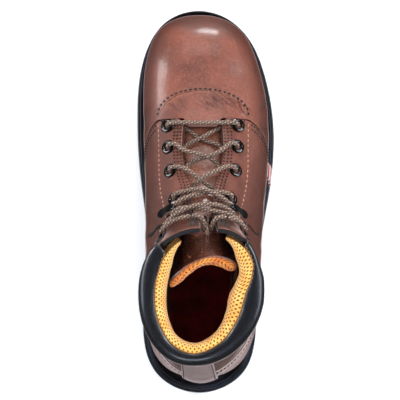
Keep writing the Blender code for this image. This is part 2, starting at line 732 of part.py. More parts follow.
def make_plug(paint):
    front_q, front_g = arc_curve(13, PLUG_APEX - GAP, THROAT + 0.7, PLUG_HALF - GAP)
    tail = THROAT + 0.4 - 7.0 * (1 - step(np.abs(front_g), 11, 15))
    rear_q = q_at(tail)
    share = np.linspace(0, 1, 5)[:, None]
    q = front_q * (1 - share) + rear_q * share
    u, v = uv_at(q, np.repeat(front_g[None], 5, axis=0))
    return panel("vamp_plug", u, v, -0.1, -LEATHER, paint)


def make_quarter(side, name, paint):
    """Side panel from the vamp seam back to the heel's back seam, up to the collar."""
    across, rows = 12, 12
    share = 1 - np.linspace(1, 0, across) ** 1.3
    seam_u, seam_v = seam_curve(side, across, PLUG_HALF + GAP, THROAT + 0.2)
    seam_u = np.interp(share, np.linspace(0, 1, across), seam_u) + 0.002
    _, edge_v = uv_at(RING_Q[-1], side * (PLUG_HALF + GAP))
    top_v = edge_v + (side * (1 - GAP / 300) - edge_v) * share
    top_u, _ = collar_line(top_v, 0.8)
    u = np.empty((rows, across))
    v = np.empty((rows, across))
    for r in range(rows):
        f = r / (rows - 1)
        u[r] = seam_u * (1 - f) + top_u * f
        line = side * np.interp(u[r], U, np.abs(uv_at(RING_Q, side * (PLUG_HALF + GAP))[1]))
        limit = side * (1 - GAP / 300)
        v[r] = line + (limit - line) * share
    return panel(name, u, v, 0.0, -LEATHER, paint)


def eyestay_grid(side, rows, across):
    """(q, g) grid of a lace stay, from its front end up to the top edge."""
    q = np.linspace(float(q_at(THROAT)), RING_Q[-1], rows)
    t = np.interp(q, TOP_LENGTH, TOP[:, 0])
    edge = facing_edge(t) + side * FACING_SHIFT * step(t, 100, 83)
    share = np.linspace(0, 1, across)
    g = edge[:, None] + (PLUG_HALF - edge[:, None]) * share
    round_off = 5.0 * np.clip(1 - (q - q[0]) / 6.0, 0, 1)[:, None] ** 2
    g = np.where(share < 0.3, g + round_off * (0.3 - share) / 0.3, g)
    return np.repeat(q[:, None], across, axis=1), side * g


def make_eyestay(side, name, paint):
    q, g = eyestay_grid(side, 15, 5)
    top_u, _ = collar_line(uv_at(q[-1], g[-1])[1], 0.8)
    q = np.minimum(q, np.interp(top_u, U, RING_Q)[None])
    return panel(name, *uv_at(q, g), OVERLAY, -LEATHER, paint)


def lining_face(u, v):
    """Layer of the lining's outer face: shallow beside the lacing, deep inside the heel counter."""
    side = LINING_FACE + (LINING_LOW - LINING_FACE) * step(np.abs(v), 0.42, 0.6)
    rear = step(u, 0.31, 0.37) * step(np.abs(v), 0.32, 0.52) * (1 - step(u, 0.86, 0.93))
    return side + (LINING_DEEP - side) * rear


def make_quarter_lining(side, name, paint):
    """Lining of one side, from the facing edge to the back seam."""
    across, rows = 12, 11
    limit = 1 - GAP / 250
    share = 1 - np.linspace(1, 0, across) ** 1.15
    front_u = float(uv_at(q_at(THROAT - 2), 0)[0])
    edge_top = (facing_edge(82.0) + side * FACING_SHIFT) / top_girth(side)
    top_v = side * (edge_top + (limit - edge_top) * share)
    top_g = np.abs(top_v) * top_girth(side)
    top_u = depth_to_u(top_v, 0.8 + 1.5 * pad_depth(top_g) * step(top_g, PAD_G - 14, PAD_G - 7))
    u, v = np.empty((rows, across)), np.empty((rows, across))
    for r in range(rows):
        u[r] = front_u + (top_u - front_u) * r / (rows - 1)
        t = np.interp(np.interp(u[r], U, RING_Q), TOP_LENGTH, TOP[:, 0])
        edge = facing_edge(t) + side * FACING_SHIFT * step(t, 100, 83)
        start = np.abs(uv_at(np.interp(u[r], U, RING_Q), side * edge)[1])
        v[r] = side * (start + (limit - start) * share)
    outer = lining_face(u, v)
    return panel(name, u, v, outer, outer - LINING_THICK, paint)


def cap_rear(v):
    """The ring at the steel cap's rear edge, a little further forward at the sides."""
    return float(np.interp(q_at(TOE_CAP_REAR), RING_Q, U)) - 0.02 * v**2


def make_vamp_lining(paint):
    rows, columns = 8, 19
    v = np.repeat(np.linspace(-1, 1, columns)[None], rows, axis=0)
    end_u = float(uv_at(q_at(THROAT + 2), 0)[0])
    u = np.repeat(end_u * np.linspace(0, 1, rows)[:, None] ** 1.1, columns, axis=1)
    start = float(cap_rear(0.0))
    outer = LINING_DEEP + (LINING_LOW - LINING_DEEP) * step(u, start + 0.012, start + 0.05)
    return panel("vamp_lining", u, v, outer, outer - LINING_THICK, paint)


def make_toe_cap(paint):
    rows, columns = 8, 19
    v = np.repeat(np.linspace(-1, 1, columns)[None], rows, axis=0)
    share = np.linspace(0, 1, rows)[:, None] ** 1.15
    return panel("steel_toe_cap", share * cap_rear(v), v, *STIFFENER, paint)


def make_cap_strip(paint):
    """Soft strip along the steel cap's rear edge."""
    v = np.repeat(np.linspace(-0.96, 0.96, 19)[None], 2, axis=0)
    u = cap_rear(v) + np.array([[0.002], [0.011]])
    return panel("toe_cap_edge_strip", u, v, -3.5, -4.7, paint)


def heel_wrap(front_y, top_u, across, rows, raised=0.0):
    """(u, v) grid of a panel wrapped round the heel, from the sole line up to a curved edge.

    raised is the share of the girth by which its lower edge stays above the sole line.
    """
    half = across // 2
    turn = np.linspace(0, 1, half + 1)
    climb = np.sin(turn * math.pi / 2)
    start = float(u_of_foot(front_y))
    foot_u = start + (HEEL_U + 0.25 * raised - start) * climb
    foot_v = 1 - raised * np.sqrt(np.cos(turn * math.pi / 2))
    edge_u = start + (top_u - start) * climb
    edge_v = foot_v - 0.30 * np.sin(turn * math.pi) ** 0.9
    foot_v[-1] = edge_v[-1] = 1.0
    share = np.linspace(0, 1, rows)[:, None]
    u = foot_u * (1 - share) + edge_u * share
    v = foot_v * (1 - share) + edge_v * share
    u = np.concatenate([u, u[:, -2::-1]], axis=1)
    v = np.concatenate([-v, v[:, -2::-1]], axis=1)
    return u, v


def make_backstay(paint):
    """Strip over the back seam, from the sole up to the collar."""
    rows, half = 9, 2
    back_u = float(depth_to_u(np.array([1.0]), np.array([COLLAR_DEPTH + 1.8]))[0])
    u_line = np.linspace(HEEL_U + 0.026, back_u, rows)
    width = np.interp(u_line, [HEEL_U, back_u], [15.0, 12.0])
    u = np.repeat(u_line[:, None], 2 * half + 1, axis=1)
    v = np.empty_like(u)
    for r in range(rows):
        for side, columns in ((-1, range(half + 1)), (1, range(half, 2 * half + 1))):
            girth = np.interp(u_line[r], U, GIRTH[:, 0 if side < 0 else 1])
            for c in columns:
                v[r, c] = side * (1 - width[r] * abs(c - half) / half / girth)
        v[r, half] = -1
    on_cover = 1 - step(u, COUNTER_TOP_U + 0.015, COUNTER_TOP_U + 0.055)
    near_sole = 1 - step(u, 0.61, 0.72)
    low = 0.5 + 3.0 * on_cover + 0.7 * near_sole  # under it lie the counter cover, then only the quarters
    return panel("backstay", u, v, low + BACKSTAY_THICK, low, paint)


# ---------------------------------------------------------------- the padded collar
COLLAR_SKIN = [(0.4, 1.0), (1.5, 0.86), (2.0, 0.6), (1.7, 0.3), (-0.1, 0.06), (-3.8, -0.05), (-8.6, -0.08)]
COLLAR_MESH = [
    (-8.9, -0.08), (-13.0, -0.04), (-16.2, 0.12), (-17.3, 0.38), (-15.3, 0.8), (-10.2, 1.15), (-5.2, 1.42),
]  # fmt: skip
COLLAR_CORE = [
    (-2.4, 0.9), (1.0, 0.6), (0.6, 0.3), (-1.6, 0.14), (-5.0, 0.06),
    (-9.5, 0.04), (-14.5, 0.16), (-16.2, 0.4), (-14.0, 0.76), (-8.0, 1.08),
]  # fmt: skip
COLLAR_SHEET, COLLAR_SINK = 1.3, 3.0


def collar_places(first_g, count):
    """v of each section along the collar, from the inner front end round the back."""
    side_count = count // 2
    out = []
    for side in (-1, 1):
        start = first_g / top_girth(side)
        out.append(side * (start + (1 - start) * np.linspace(0, 1, side_count + 1) ** 0.85))
    return np.concatenate([out[0], out[1][-2::-1]])


def collar_frame(v, depth_at, sunk):
    """A function from (out, share of depth) to a point, at one place round the top.

    The roll is thin at its front ends, where its padding is sunk below the facing.
    """
    side = -1 if v < 0 else 1
    g = abs(v) * top_girth(side)
    depth = float(depth_at(g))
    full = 0.3 + 0.7 * float(step(g, PAD_G, 62))
    line = last(U[::-1], v, 0)
    along = lengths(line)
    normal = last(1.0, v, 4) - last(1.0, v, 0)
    normal /= np.linalg.norm(normal)
    down = line[8] - line[0]
    down /= np.linalg.norm(down)

    def place(out, share):
        at = share * depth
        if at >= 0:
            base = np.array([np.interp(at, along, line[:, k]) for k in range(3)])
        else:
            base = line[0] + down * at
        return base + normal * (out * full - sunk * (1 - full))

    return place


def thickened(line, amount):
    """A closed section from an open (out, share) line: the line, then itself moved into the padding."""
    line = np.array(line)
    scaled = line * [1, COLLAR_DEPTH]
    along = np.gradient(scaled, axis=0)
    normal = np.stack([along[:, 1], -along[:, 0]], axis=1)
    normal /= np.linalg.norm(normal, axis=1)[:, None]
    moved = (scaled - amount * normal) / [1, COLLAR_DEPTH]
    return list(map(tuple, line)) + list(map(tuple, moved[::-1]))


def collar_solid(name, section, first_g, depth_at, sunk, count, paint):
    sections = []
    for v in collar_places(first_g, count):
        place = collar_frame(v, depth_at, sunk)
        sections.append(np.array([place(out, share) for out, share in section]))
    return sweep(name, sections, paint)


# ---------------------------------------------------------------- the tongue
TONGUE_LINE = [
    (168, 83), (157, 85.5), (141, 90), (125, 97.5), (107, 110.5), (90, 128), (74, 147), (61.5, 167),
]  # fmt: skip
TONGUE_HALF = ([0, 0.3, 0.6, 1.0], [30, 33, 31.5, 28.4])
TONGUE_RADIUS = ([0, 0.3, 0.6, 1.0], [46, 38, 30, 27.5])
TONGUE_YAW = 0.26  # the loose top sits twisted towards the inner side


def tongue_point(share, across, depth):
    """A point of the tongue: share up its length, across -1 to 1, depth below its outer face."""
    line = through(TONGUE_LINE, 60)
    at = share * 59
    y, z = np.interp(at, range(60), line[:, 0]), np.interp(at, range(60), line[:, 1])
    low, high = line[max(int(at) - 1, 0)], line[min(int(at) + 2, 59)]
    along = (high - low) / np.linalg.norm(high - low)
    out = np.array([along[1], -along[0]])
    if out[1] < 0:
        out = -out
    radius = np.interp(share, *TONGUE_RADIUS) - depth
    turn = across * np.interp(share, *TONGUE_HALF) / (radius + depth)
    x = radius * math.sin(turn)
    back = (radius + depth) - radius * math.cos(turn)
    back += -TONGUE_YAW * step(share, 0.55, 1.0) * x
    return np.array([CENTRE_X + x, y - out[0] * back, z - out[1] * back])


def tongue_layer(name, top_depth, bottom_depth, first_share, rows, paint):
    """One layer of the tongue, between two depths, from first_share of its length up to its top."""
    shares, places = np.linspace(first_share, 1.0, rows), np.linspace(-1, 1, 9)
    outer = np.array([[tongue_point(s, a, top_depth) for a in places] for s in shares])
    inner = np.array([[tongue_point(s, a, bottom_depth) for a in places] for s in shares])
    return slab(name, outer, inner, paint)


# ---------------------------------------------------------------- hardware and laces
EYELET_PROFILE = [
    (BUSHING, OVERLAY - 0.4), (3.5, OVERLAY + 1.2), (4.5, OVERLAY + 1.4), (5.6, OVERLAY + 0.5),
    (4.0, OVERLAY + 0.5), (4.0, -4.35), (5.0, -4.45), (3.6, -4.9), (BUSHING, -4.35),
]  # fmt: skip


def make_eyelets(paint):
    for row, (t, g) in enumerate(zip(EYELET_T, EYELET_G)):
        for side, word in ((-1, "inner"), (1, "outer")):
            place = seat(float(q_at(t)), side * g)
            turned(f"eyelet_{word}_{row + 1}", EYELET_PROFILE, 10, place, paint)


def hole_cutter(side, name):
    """Cutters for four eyelet barrels and two hook rivets on one side, as one tool."""
    points, faces = [], []
    spots = [(t, g, 4.5) for t, g in zip(EYELET_T, EYELET_G)]
    spots += [(t, g, 1.7) for t, g in zip(HOOK_T, HOOK_G)]
    for t, g, radius in spots:
        tool = rings("tool", [(radius, -9), (radius, 7)], 10, seat(float(q_at(t)), side * g), None)
        base = len(points)
        points += [tuple(v.co / MM) for v in tool.data.vertices]
        faces += [tuple(base + k for k in p.vertices) for p in tool.data.polygons]
        bpy.data.objects.remove(tool)
    return mesh_object(name, points, faces, None)


HOOK_STRIP = [  # section of a speed hook in (away from the lacing, out of the leather, half width)
    (3.8, 0, 4.4), (-4.2, 0, 4.0), (-7.1, 0.8, 2.6), (-7.9, 2.6, 2.6), (-7.2, 5.2, 2.6), (-5.4, 6.6, 2.7),
    (1.8, 7.0, 3.6), (3.2, 7.8, 3.4), (3.7, 7.0, 3.4), (2.1, 6.1, 3.6), (-5.0, 5.7, 2.7), (-6.3, 4.5, 2.6),
    (-6.9, 2.8, 2.6), (-6.3, 1.5, 2.6), (-4.2, 0.9, 4.0), (3.8, 0.9, 4.4),
]  # fmt: skip
HOOK_SEAT = OVERLAY + 0.4
RIVET = [
    (2.5, -5.4), (2.5, -4.8), (1.3, -4.8),
    (1.3, HOOK_SEAT + 1.1), (2.3, HOOK_SEAT + 1.1), (1.8, HOOK_SEAT + 1.8),
]  # fmt: skip


def make_hook(name, place, paint, rivet_name):
    """Speed hook bent from a strip: a flat base, a neck on the lacing side, an arm back over it."""
    sections = []
    for side in (-1, 1):
        sections.append(np.array([place(a, side * half, HOOK_SEAT + out) for a, out, half in HOOK_STRIP]))
    hook = sweep(name, sections, paint)
    combine(hook, rings(name + "_hole_tool", [(1.7, 0), (1.7, HOOK_SEAT + 2)], 8, place, None), "DIFFERENCE")
    rings(rivet_name, RIVET, 8, place, paint)


def thinned(path, tolerance):
    """The polyline's points that keep it within tolerance of the full one."""
    keep = np.zeros(len(path), bool)
    keep[0] = keep[-1] = True
    spans = [(0, len(path) - 1)]
    while spans:
        a, b = spans.pop()
        if b - a < 2:
            continue
        chord = path[b] - path[a]
        size = np.linalg.norm(chord)
        off = path[a + 1 : b] - path[a]
        along = off @ chord / size**2
        far = np.linalg.norm(off - along[:, None] * chord, axis=1)
        worst = int(far.argmax())
        if far[worst] > tolerance:
            middle = a + 1 + worst
            keep[middle] = True
            spans += [(a, middle), (middle, b)]
    return path[keep]


LACE_TOP, LACE_UNDER = OVERLAY + 3.1, -7.2
EYELET_TOP = [(0.0, 1.2), (0.9, 3.6), (3.0, 5.2), (6.6, LACE_TOP)]  # (towards the gap, layer)
EYELET_BOTTOM = [(0.0, -4.2), (0.9, -6.0), (3.2, -7.3), (6.6, LACE_UNDER)]
HOOK_LOOP = [(-8.5, -5.2), (-5.0, -4.4), (-3.0, -2.4), (-2.6, 0.0), (-3.0, 2.4), (-5.0, 4.4), (-8.5, 5.2)]
HOOK_CHANNEL = HOOK_SEAT + 3.3


def eyelet_path(row, side, upwards):
    """Points through one eyelet, from under the facing to above it or back."""
    place = seat(float(q_at(EYELET_T[row])), side * EYELET_G[row])
    path = [place(-a, 0, h) for a, h in EYELET_BOTTOM[::-1] + EYELET_TOP]
    return path if upwards else path[::-1]


def half_lace(side):
    """Points of half the lace, from the first eyelet on one side to past the last hook."""
    now = side
    points = eyelet_path(0, now, upwards=False)
    for row in range(3):
        q0, q1 = float(q_at(EYELET_T[row])), float(q_at(EYELET_T[row + 1]))
        edge = float(facing_edge((EYELET_T[row] + EYELET_T[row + 1]) / 2))
        middle = -5.2 if row == 0 else -1.2
        if row > 0:
            points.append(spot(q0 + (q1 - q0) * 0.22, now * (edge + 0.6), LACE_TOP - 0.3))
        points.append(spot((q0 + q1) / 2, 0.0, middle + 2.1 * side))
        points.append(spot(q0 + (q1 - q0) * 0.78, -now * (edge - 1.0), LACE_UNDER + 0.6))
        now = -now
        points += eyelet_path(row + 1, now, upwards=True)
    q_last = float(q_at(EYELET_T[3]))
    for t, g in zip(HOOK_T, HOOK_G):
        q = float(q_at(t))
        points.append(spot((q_last + q - 4.9) / 2, 0.0, 5.6 + 2.1 * side))
        now = -now
        place = seat(q, now * g)
        points += [place(a, b, HOOK_CHANNEL) for a, b in HOOK_LOOP]
        q_last = q + 4.9
    return points, now, q_last


def make_lace(paint, tip_paint):
    """One lace over the boot, then its two loose ends, tucked in behind the facings, and their tips."""
    halves = [half_lace(side) for side in (-1, 1)]
    q0 = float(q_at(EYELET_T[0]))
    bar = [spot(q0, g, LACE_TOP - 0.2) for g in (-8.0, 8.0)]
    drop = {-1: 1.2, 1: 7.2}  # where the ends go down between the facings, off their middle
    starts = [[spot(q + 1.0, drop[now] + now * 9.0, 5.4)] for _, now, q in halves]
    path = np.array(starts[0] + halves[0][0][::-1] + bar + halves[1][0] + starts[1])
    tube("lace", thinned(through(path, 900), LACE_SLACK), LACE_RADIUS, 6, paint)
    for _, now, q in halves:
        word = "outer" if now > 0 else "inner"
        down = [(1.0, 9.0, 5.4), (2.2, 3.6, 4.6), (2.2, 0.8, 1.4), (0.6, 0.0, -4.0), (-6.0, 0.0, -7.2)]
        down += [(-15.0, 0.0, -7.4), (-24.0, 0.0, -7.4)]
        tail = through(np.array([spot(q + a, drop[now] + now * b, d) for a, b, d in down]), 60)
        cut = 46
        tube(f"lace_end_{word}", thinned(tail[1:cut], 0.15), LACE_RADIUS, 6, paint)
        tube(f"lace_tip_{word}", thinned(tail[cut + 1 :], 0.15), LACE_RADIUS + 0.1, 8, tip_paint)


def make_side_tab(paint):
    """Small folded fabric tab caught in the outer seam."""
    u0 = float(u_of_foot(SEAM_FOOT_Y)) - 0.012
    u = np.repeat(np.array([[u0 - 0.020], [u0]]), 3, axis=1)
    v = np.repeat(np.array([[0.70, 0.76, 0.82]]), 2, axis=0)
    return panel("side_tab", u, v, 1.5, GAP, paint)


# ---------------------------------------------------------------- assembly
def make_materials():
    return {
        "leather": material("brown_leather", (0.26, 0.11, 0.06), 0.38),
        "black_leather": material("black_collar_leather", (0.02, 0.022, 0.03), 0.4),
        "mesh": material("orange_mesh", (0.9, 0.42, 0.08), 0.85),
        "foam": material("foam", (0.75, 0.72, 0.65), 0.9),
        "textile": material("lining_textile", (0.16, 0.13, 0.11), 0.9),
        "rubber": material("outsole_rubber", (0.025, 0.028, 0.034), 0.7),
        "midsole": material("midsole_polyurethane", (0.03, 0.034, 0.042), 0.55),
        "steel": material("steel", (0.6, 0.6, 0.62), 0.35, 1.0),
        "black_metal": material("black_metal", (0.015, 0.015, 0.017), 0.2, 0.9),
        "board": material("fibre_board", (0.45, 0.33, 0.2), 0.85),
        "cord": material("lace_cord", (0.2, 0.13, 0.08), 0.8),
        "plastic": material("lace_tip_plastic", (0.05, 0.035, 0.03), 0.35),
        "tab": material("tab_fabric", (0.35, 0.03, 0.04), 0.8),
    }


def make_sole_unit(paints):
    make_outsole(paints["rubber"])
    body = make_midsole(paints["midsole"])
    pocket = strip("shank_pocket_tool", 7.8, 11.0, 114.0, lambda y: floor_height(y) + 3,
                   lambda y: floor_height(y) - 1.9, None)
    combine(body, pocket, "DIFFERENCE")
    strip("shank", 7.3, 12.0, 113.0, lambda y: floor_height(y) - 0.05, lambda y: floor_height(y) - 1.55,
          paints["steel"])  # lies in the pocket with half a millimetre to spare all round
    board_edge = lambda y: inset_at(y) + 0.6  # noqa: E731
    plate("insole_board", board_edge, board_height, lambda y: board_height(y) - BOARD_THICK, paints["board"])
    make_footbed(paints["foam"])


def make_upper(paints):
    make_vamp(paints["leather"])
    make_plug(paints["leather"])
    for side, word in ((-1, "inner"), (1, "outer")):
        tool = hole_cutter(side, f"holes_{word}_tool")
        make_quarter(side, f"quarter_{word}", paints["leather"])
        combine(make_eyestay(side, f"eyestay_{word}", paints["leather"]), tool, "DIFFERENCE")
        combine(make_quarter_lining(side, f"quarter_lining_{word}", paints["textile"]), tool, "DIFFERENCE")
    cover_u, cover_v = heel_wrap(COUNTER_FRONT_Y, COUNTER_TOP_U, 27, 6, 0.1)
    low = COVER_LOW + COVER_EXTRA_LOW * np.linspace(1, 0, 6)[:, None] ** 1.2
    panel("heel_counter_cover", cover_u, cover_v, low + COVER_THICK, low, paints["leather"])
    inside_u, inside_v = heel_wrap(STIFFENER_FRONT_Y, STIFFENER_TOP_U, 21, 5)
    panel("heel_counter", inside_u, inside_v, *STIFFENER, paints["board"])
    make_backstay(paints["leather"])
    make_vamp_lining(paints["textile"])
    make_toe_cap(paints["steel"])
    make_cap_strip(paints["textile"])
    make_side_tab(paints["tab"])


def make_collar(paints):
    skin, mesh = thickened(COLLAR_SKIN, COLLAR_SHEET), thickened(COLLAR_MESH, COLLAR_SHEET)
    collar_solid("collar_cover", skin, COVER_G, cover_depth, 0, 20, paints["black_leather"])
    collar_solid("collar_lining", mesh, PAD_G, pad_depth, COLLAR_SINK, 22, paints["mesh"])
    collar_solid("collar_foam", COLLAR_CORE, COVER_G + 5, cover_depth, COLLAR_SINK, 20, paints["foam"])


def make_tongue(paints):
    tongue_layer("tongue_leather", 0.0, 1.4, 0.0, 10, paints["leather"])
    tongue_layer("tongue_foam", 1.9, 5.4, 0.1, 9, paints["foam"])
    tongue_layer("tongue_lining", 5.9, 6.9, 0.1, 9, paints["mesh"])


def make_fastenings(paints):
    make_eyelets(paints["black_metal"])
    for number, (t, g) in enumerate(zip(HOOK_T, HOOK_G)):
        for side, word in ((-1, "inner"), (1, "outer")):
            label = f"{word}_{number + 1}"
            place = seat(float(q_at(t)), side * g)
            make_hook(f"hook_{label}", place, paints["black_metal"], f"hook_rivet_{label}")
    make_lace(paints["cord"], paints["plastic"])


def main():
    clear_scene()
    paints = make_materials()
    make_sole_unit(paints)
    make_upper(paints)
    make_collar(paints)
    make_tongue(paints)
    make_fastenings(paints)


main()
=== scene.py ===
"""Looks of the steel toe work boot: leather, padded collar, laces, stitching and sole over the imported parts.

Frame: +X to the outer (lateral) side, +Y towards the toe, +Z up, origin on the ground under the heel.
Lengths below are in millimetres; meshes are made in metres.

The upper is one smooth "last" surface that every panel follows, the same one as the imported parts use.
A place on it is (q, g, d): q runs along the top centre line from the toe tip to the collar, g is the
distance sideways from that line, negative on the inner side, and d is the layer, positive outwards.
"""

import math

import bmesh
import bpy
import numpy as np
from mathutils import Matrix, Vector


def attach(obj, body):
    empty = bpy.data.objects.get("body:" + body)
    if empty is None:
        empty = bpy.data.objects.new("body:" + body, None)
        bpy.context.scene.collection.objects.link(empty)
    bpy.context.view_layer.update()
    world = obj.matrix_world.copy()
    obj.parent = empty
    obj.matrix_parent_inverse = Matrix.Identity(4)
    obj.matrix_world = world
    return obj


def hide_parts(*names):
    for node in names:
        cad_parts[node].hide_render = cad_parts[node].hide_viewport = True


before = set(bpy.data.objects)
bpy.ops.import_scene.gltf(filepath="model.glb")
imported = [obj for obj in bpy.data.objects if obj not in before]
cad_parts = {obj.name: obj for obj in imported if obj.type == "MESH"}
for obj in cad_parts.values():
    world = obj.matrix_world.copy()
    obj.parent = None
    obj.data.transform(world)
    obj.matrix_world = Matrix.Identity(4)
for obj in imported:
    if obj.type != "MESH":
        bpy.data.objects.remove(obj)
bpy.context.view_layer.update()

MM = 0.001
SIDES = ((-1, "inner"), (1, "outer"))

# ---------------------------------------------------------------- driving dimensions
SOLE_OUTLINE = [  # widest plan outline of the sole, toe tip first, then down the outer side
    (-3, 264.5), (22, 258.5), (40, 242), (53, 212), (60, 165), (56, 115), (48, 65), (46, 20), (36, -27),
    (0, -44.5), (-36, -28), (-46.5, 15), (-43, 70), (-49, 135), (-51, 180), (-46, 226), (-28, 255.5),
]  # fmt: skip
FEATHER_INSET = ([-44, 0, 40, 100, 200, 266], [13.0, 12, 10.5, 8.5, 8.5, 5.2])  # sole edge to upper
FEATHER_HEIGHT = ([-44, 0, 40, 80, 120, 160, 200, 235, 266], [41, 40, 38.5, 35, 30.5, 28, 28, 31, 36.5])
TOE_DOME_REAR, TOE_DOME_HEIGHT = 205.0, 84.5
INSTEP_LINE = [(192, 86), (171, 90.5), (150, 98.5), (126, 111), (106, 126), (94, 142.5), (87, 160), (82, 178)]
BACK_LINE = [(-30.5, 41), (-29.4, 64), (-26.6, 88), (-21, 111), (-14.8, 132), (-11.5, 158)]
BACK_SHIFT = -4.0  # the shaft's top is turned so that its back sits this far to the inner side
# how much leaner behind and fuller in front the collar's outer side is, as superellipse powers
COLLAR_LEAN_BEHIND, COLLAR_FULL_FRONT = 0.3, 0.7
HEEL_U, FAN_U = 0.6, 0.2  # the ring that ends at the heel's back, and where rings start to lean
CENTRE_X = 2.0  # the lacing runs a little outside the boot's middle
HALF_WIDTH_U = [0, 0.1, 0.15, 0.2, 0.25, 0.3, 0.35, 0.4, 0.45, 0.5, 0.6, 0.7, 0.8, 0.9, 1.0]
INNER_HALF_WIDTH = [20, 35, 42.0, 44.4, 44.2, 43.2, 42.9, 43, 42.7, 42.5, 41.5, 40.5, 40, 40, 40.5]
OUTER_HALF_WIDTH = [20, 37.5, 46.7, 53.3, 54.5, 52.5, 49.8, 48, 47, 46, 44.5, 43.2, 42.3, 42, 42.3]

LEATHER = 1.9
OVERLAY = 1.6
GAP = 0.3
LINING_FACE, LINING_THICK = -2.6, 0.9  # outer face of the lining beside the lacing
LINING_LOW = -3.7  # and further down the sides
LINING_DEEP = -6.6  # and inside the stiffeners
BUSHING = 2.9  # bore radius of a lace eyelet
EYELET_T = [165, 149, 132.4, 113]
EYELET_G = [27, 26.5, 25, 22]
HOOK_T = [100.5, 90.0]
HOOK_G = [24.5, 33.0]
LACE_RADIUS = 1.8
TOE_CAP_REAR = 205.0
PLUG_APEX, THROAT, PLUG_HALF = 192.5, 170.5, 36.0
FACING_EDGE = ([171, 165, 149, 132, 118, 105, 95, 82], [14, 14.5, 15.5, 13.5, 9.5, 7.5, 6.5, 6.5])
SEAM_FOOT_Y = 105.0  # where the vamp seam reaches the sole
PAD_G, COVER_G = 22.0, 33.0  # where the collar's padding and its black cover start
COLLAR_DEPTH = 28.0
FACING_SHIFT = 4.5  # the facings' top corners sit this far to the outer side
WAIST_REAR, WAIST_FRONT = 38.0, 86.0  # the arched part of the sole, between heel and forefoot tread
WAIST_HEIGHT = 12.0  # how far its underside arches above the ground
TOE_SPRING_START, TOE_SPRING_LENGTH, TOE_SPRING = 200.0, 66.0, 13.0
LIP = 3.6  # how far the midsole's lip rises above the upper's lower edge


# ---------------------------------------------------------------- curves
def spline(xs, ys):
    """Natural cubic spline through the points; ys may have several columns."""
    xs, ys = np.asarray(xs, float), np.asarray(ys, float)
    n = len(xs)
    flat = ys.reshape(n, -1)
    h = np.diff(xs)
    system, right = np.eye(n), np.zeros_like(flat)
    for i in range(1, n - 1):
        system[i, i - 1 : i + 2] = h[i - 1], 2 * (h[i - 1] + h[i]), h[i]
        right[i] = 6 * ((flat[i + 1] - flat[i]) / h[i] - (flat[i] - flat[i - 1]) / h[i - 1])
    bend = np.linalg.solve(system, right)

    def value(x):
        x = np.clip(np.asarray(x, float), xs[0], xs[-1])
        i = np.clip(np.searchsorted(xs, x, side="right") - 1, 0, n - 2)
        left, gone, step = (xs[i + 1] - x)[..., None], (x - xs[i])[..., None], h[i][..., None]
        out = (bend[i] * left**3 + bend[i + 1] * gone**3) / (6 * step)
        out += (flat[i] / step - bend[i] * step / 6) * left
        out += (flat[i + 1] / step - bend[i + 1] * step / 6) * gone
        return out.reshape(x.shape + ys.shape[1:])

    return value


def lengths(points):
    """Distance along a polyline to each of its points."""
    return np.concatenate([[0], np.cumsum(np.linalg.norm(np.diff(points, axis=0), axis=1))])


def unit(vectors):
    """The same directions, each one unit long."""
    return vectors / np.linalg.norm(vectors, axis=-1)[..., None]


def full_turn(count):
    """count angles, evenly spaced round a full turn."""
    return 2 * math.pi * np.arange(count) / count


def pick(table, known, at):
    """Rows of a table, given at the known places, read off at other places."""
    return np.stack([np.interp(at, known, column) for column in table.T], axis=-1)


def evenly(path, pitch):
    """The polyline sampled again every pitch mm."""
    run = lengths(path)
    return pick(path, run, np.linspace(0, run[-1], max(int(run[-1] / pitch), 4)))


def through(points, count):
    """count points, evenly spaced along the smooth curve through the points."""
    points = np.asarray(points, float)
    curve = spline(lengths(points), points)
    dense = curve(np.linspace(0, lengths(points)[-1], 40 * len(points)))
    along = lengths(dense)
    return pick(dense, along, np.linspace(0, along[-1], count))


def closed_curve(points, count):
    """count points round the smooth closed curve through the points."""
    points = np.asarray(points, float)
    n, lap = len(points), 4
    ring = np.concatenate([points[-lap:], points, points[:lap]])
    t = lengths(ring)
    return spline(t, ring)(np.linspace(t[lap], t[lap + n], count, endpoint=False))


def step(x, start, end):
    """0 before start, 1 after end, smooth between."""
    x = np.clip((np.asarray(x, float) - start) / (end - start), 0, 1)
    return x * x * (3 - 2 * x)


inset_at = spline(*FEATHER_INSET)
feather_height = spline(*FEATHER_HEIGHT)
facing_edge = spline(FACING_EDGE[0][::-1], FACING_EDGE[1][::-1])
OUTLINE = closed_curve(SOLE_OUTLINE, 720)


def inward(points):
    """Unit normals that point into a closed, clockwise plan outline."""
    along = np.roll(points, -1, axis=0) - np.roll(points, 1, axis=0)
    return unit(np.stack([along[:, 1], -along[:, 0]], axis=1))


def inset_outline(amount):
    """The sole outline moved inwards by amount, a number or a function of y."""
    by = amount(OUTLINE[:, 1]) if callable(amount) else amount
    return OUTLINE + inward(OUTLINE) * np.reshape(by, (-1, 1))


def sides(outline, y):
    """x of an outline's inner and outer side at each y."""
    tip, heel = outline[:, 1].argmax(), outline[:, 1].argmin()
    ring = np.roll(outline, -tip, axis=0)
    heel = (heel - tip) % len(outline)
    outer, inner = ring[: heel + 1][::-1], np.concatenate([ring[heel:], ring[:1]])
    return np.interp(y, inner[:, 1], inner[:, 0]), np.interp(y, outer[:, 1], outer[:, 0])


# ---------------------------------------------------------------- the last surface
LAYERS = np.arange(-24.0, 9.0, 4.0)
U_COUNT, V_SIDE, RING_SAMPLES = 161, 40, 70


def offset_profile(points, d):
    """A side-view polyline moved by d along its normal, which points away from the foot."""
    along = np.gradient(points, axis=0)
    normal = np.stack([along[:, 1], -along[:, 0]], axis=1)
    return points + d * normal / np.linalg.norm(normal, axis=1)[:, None]


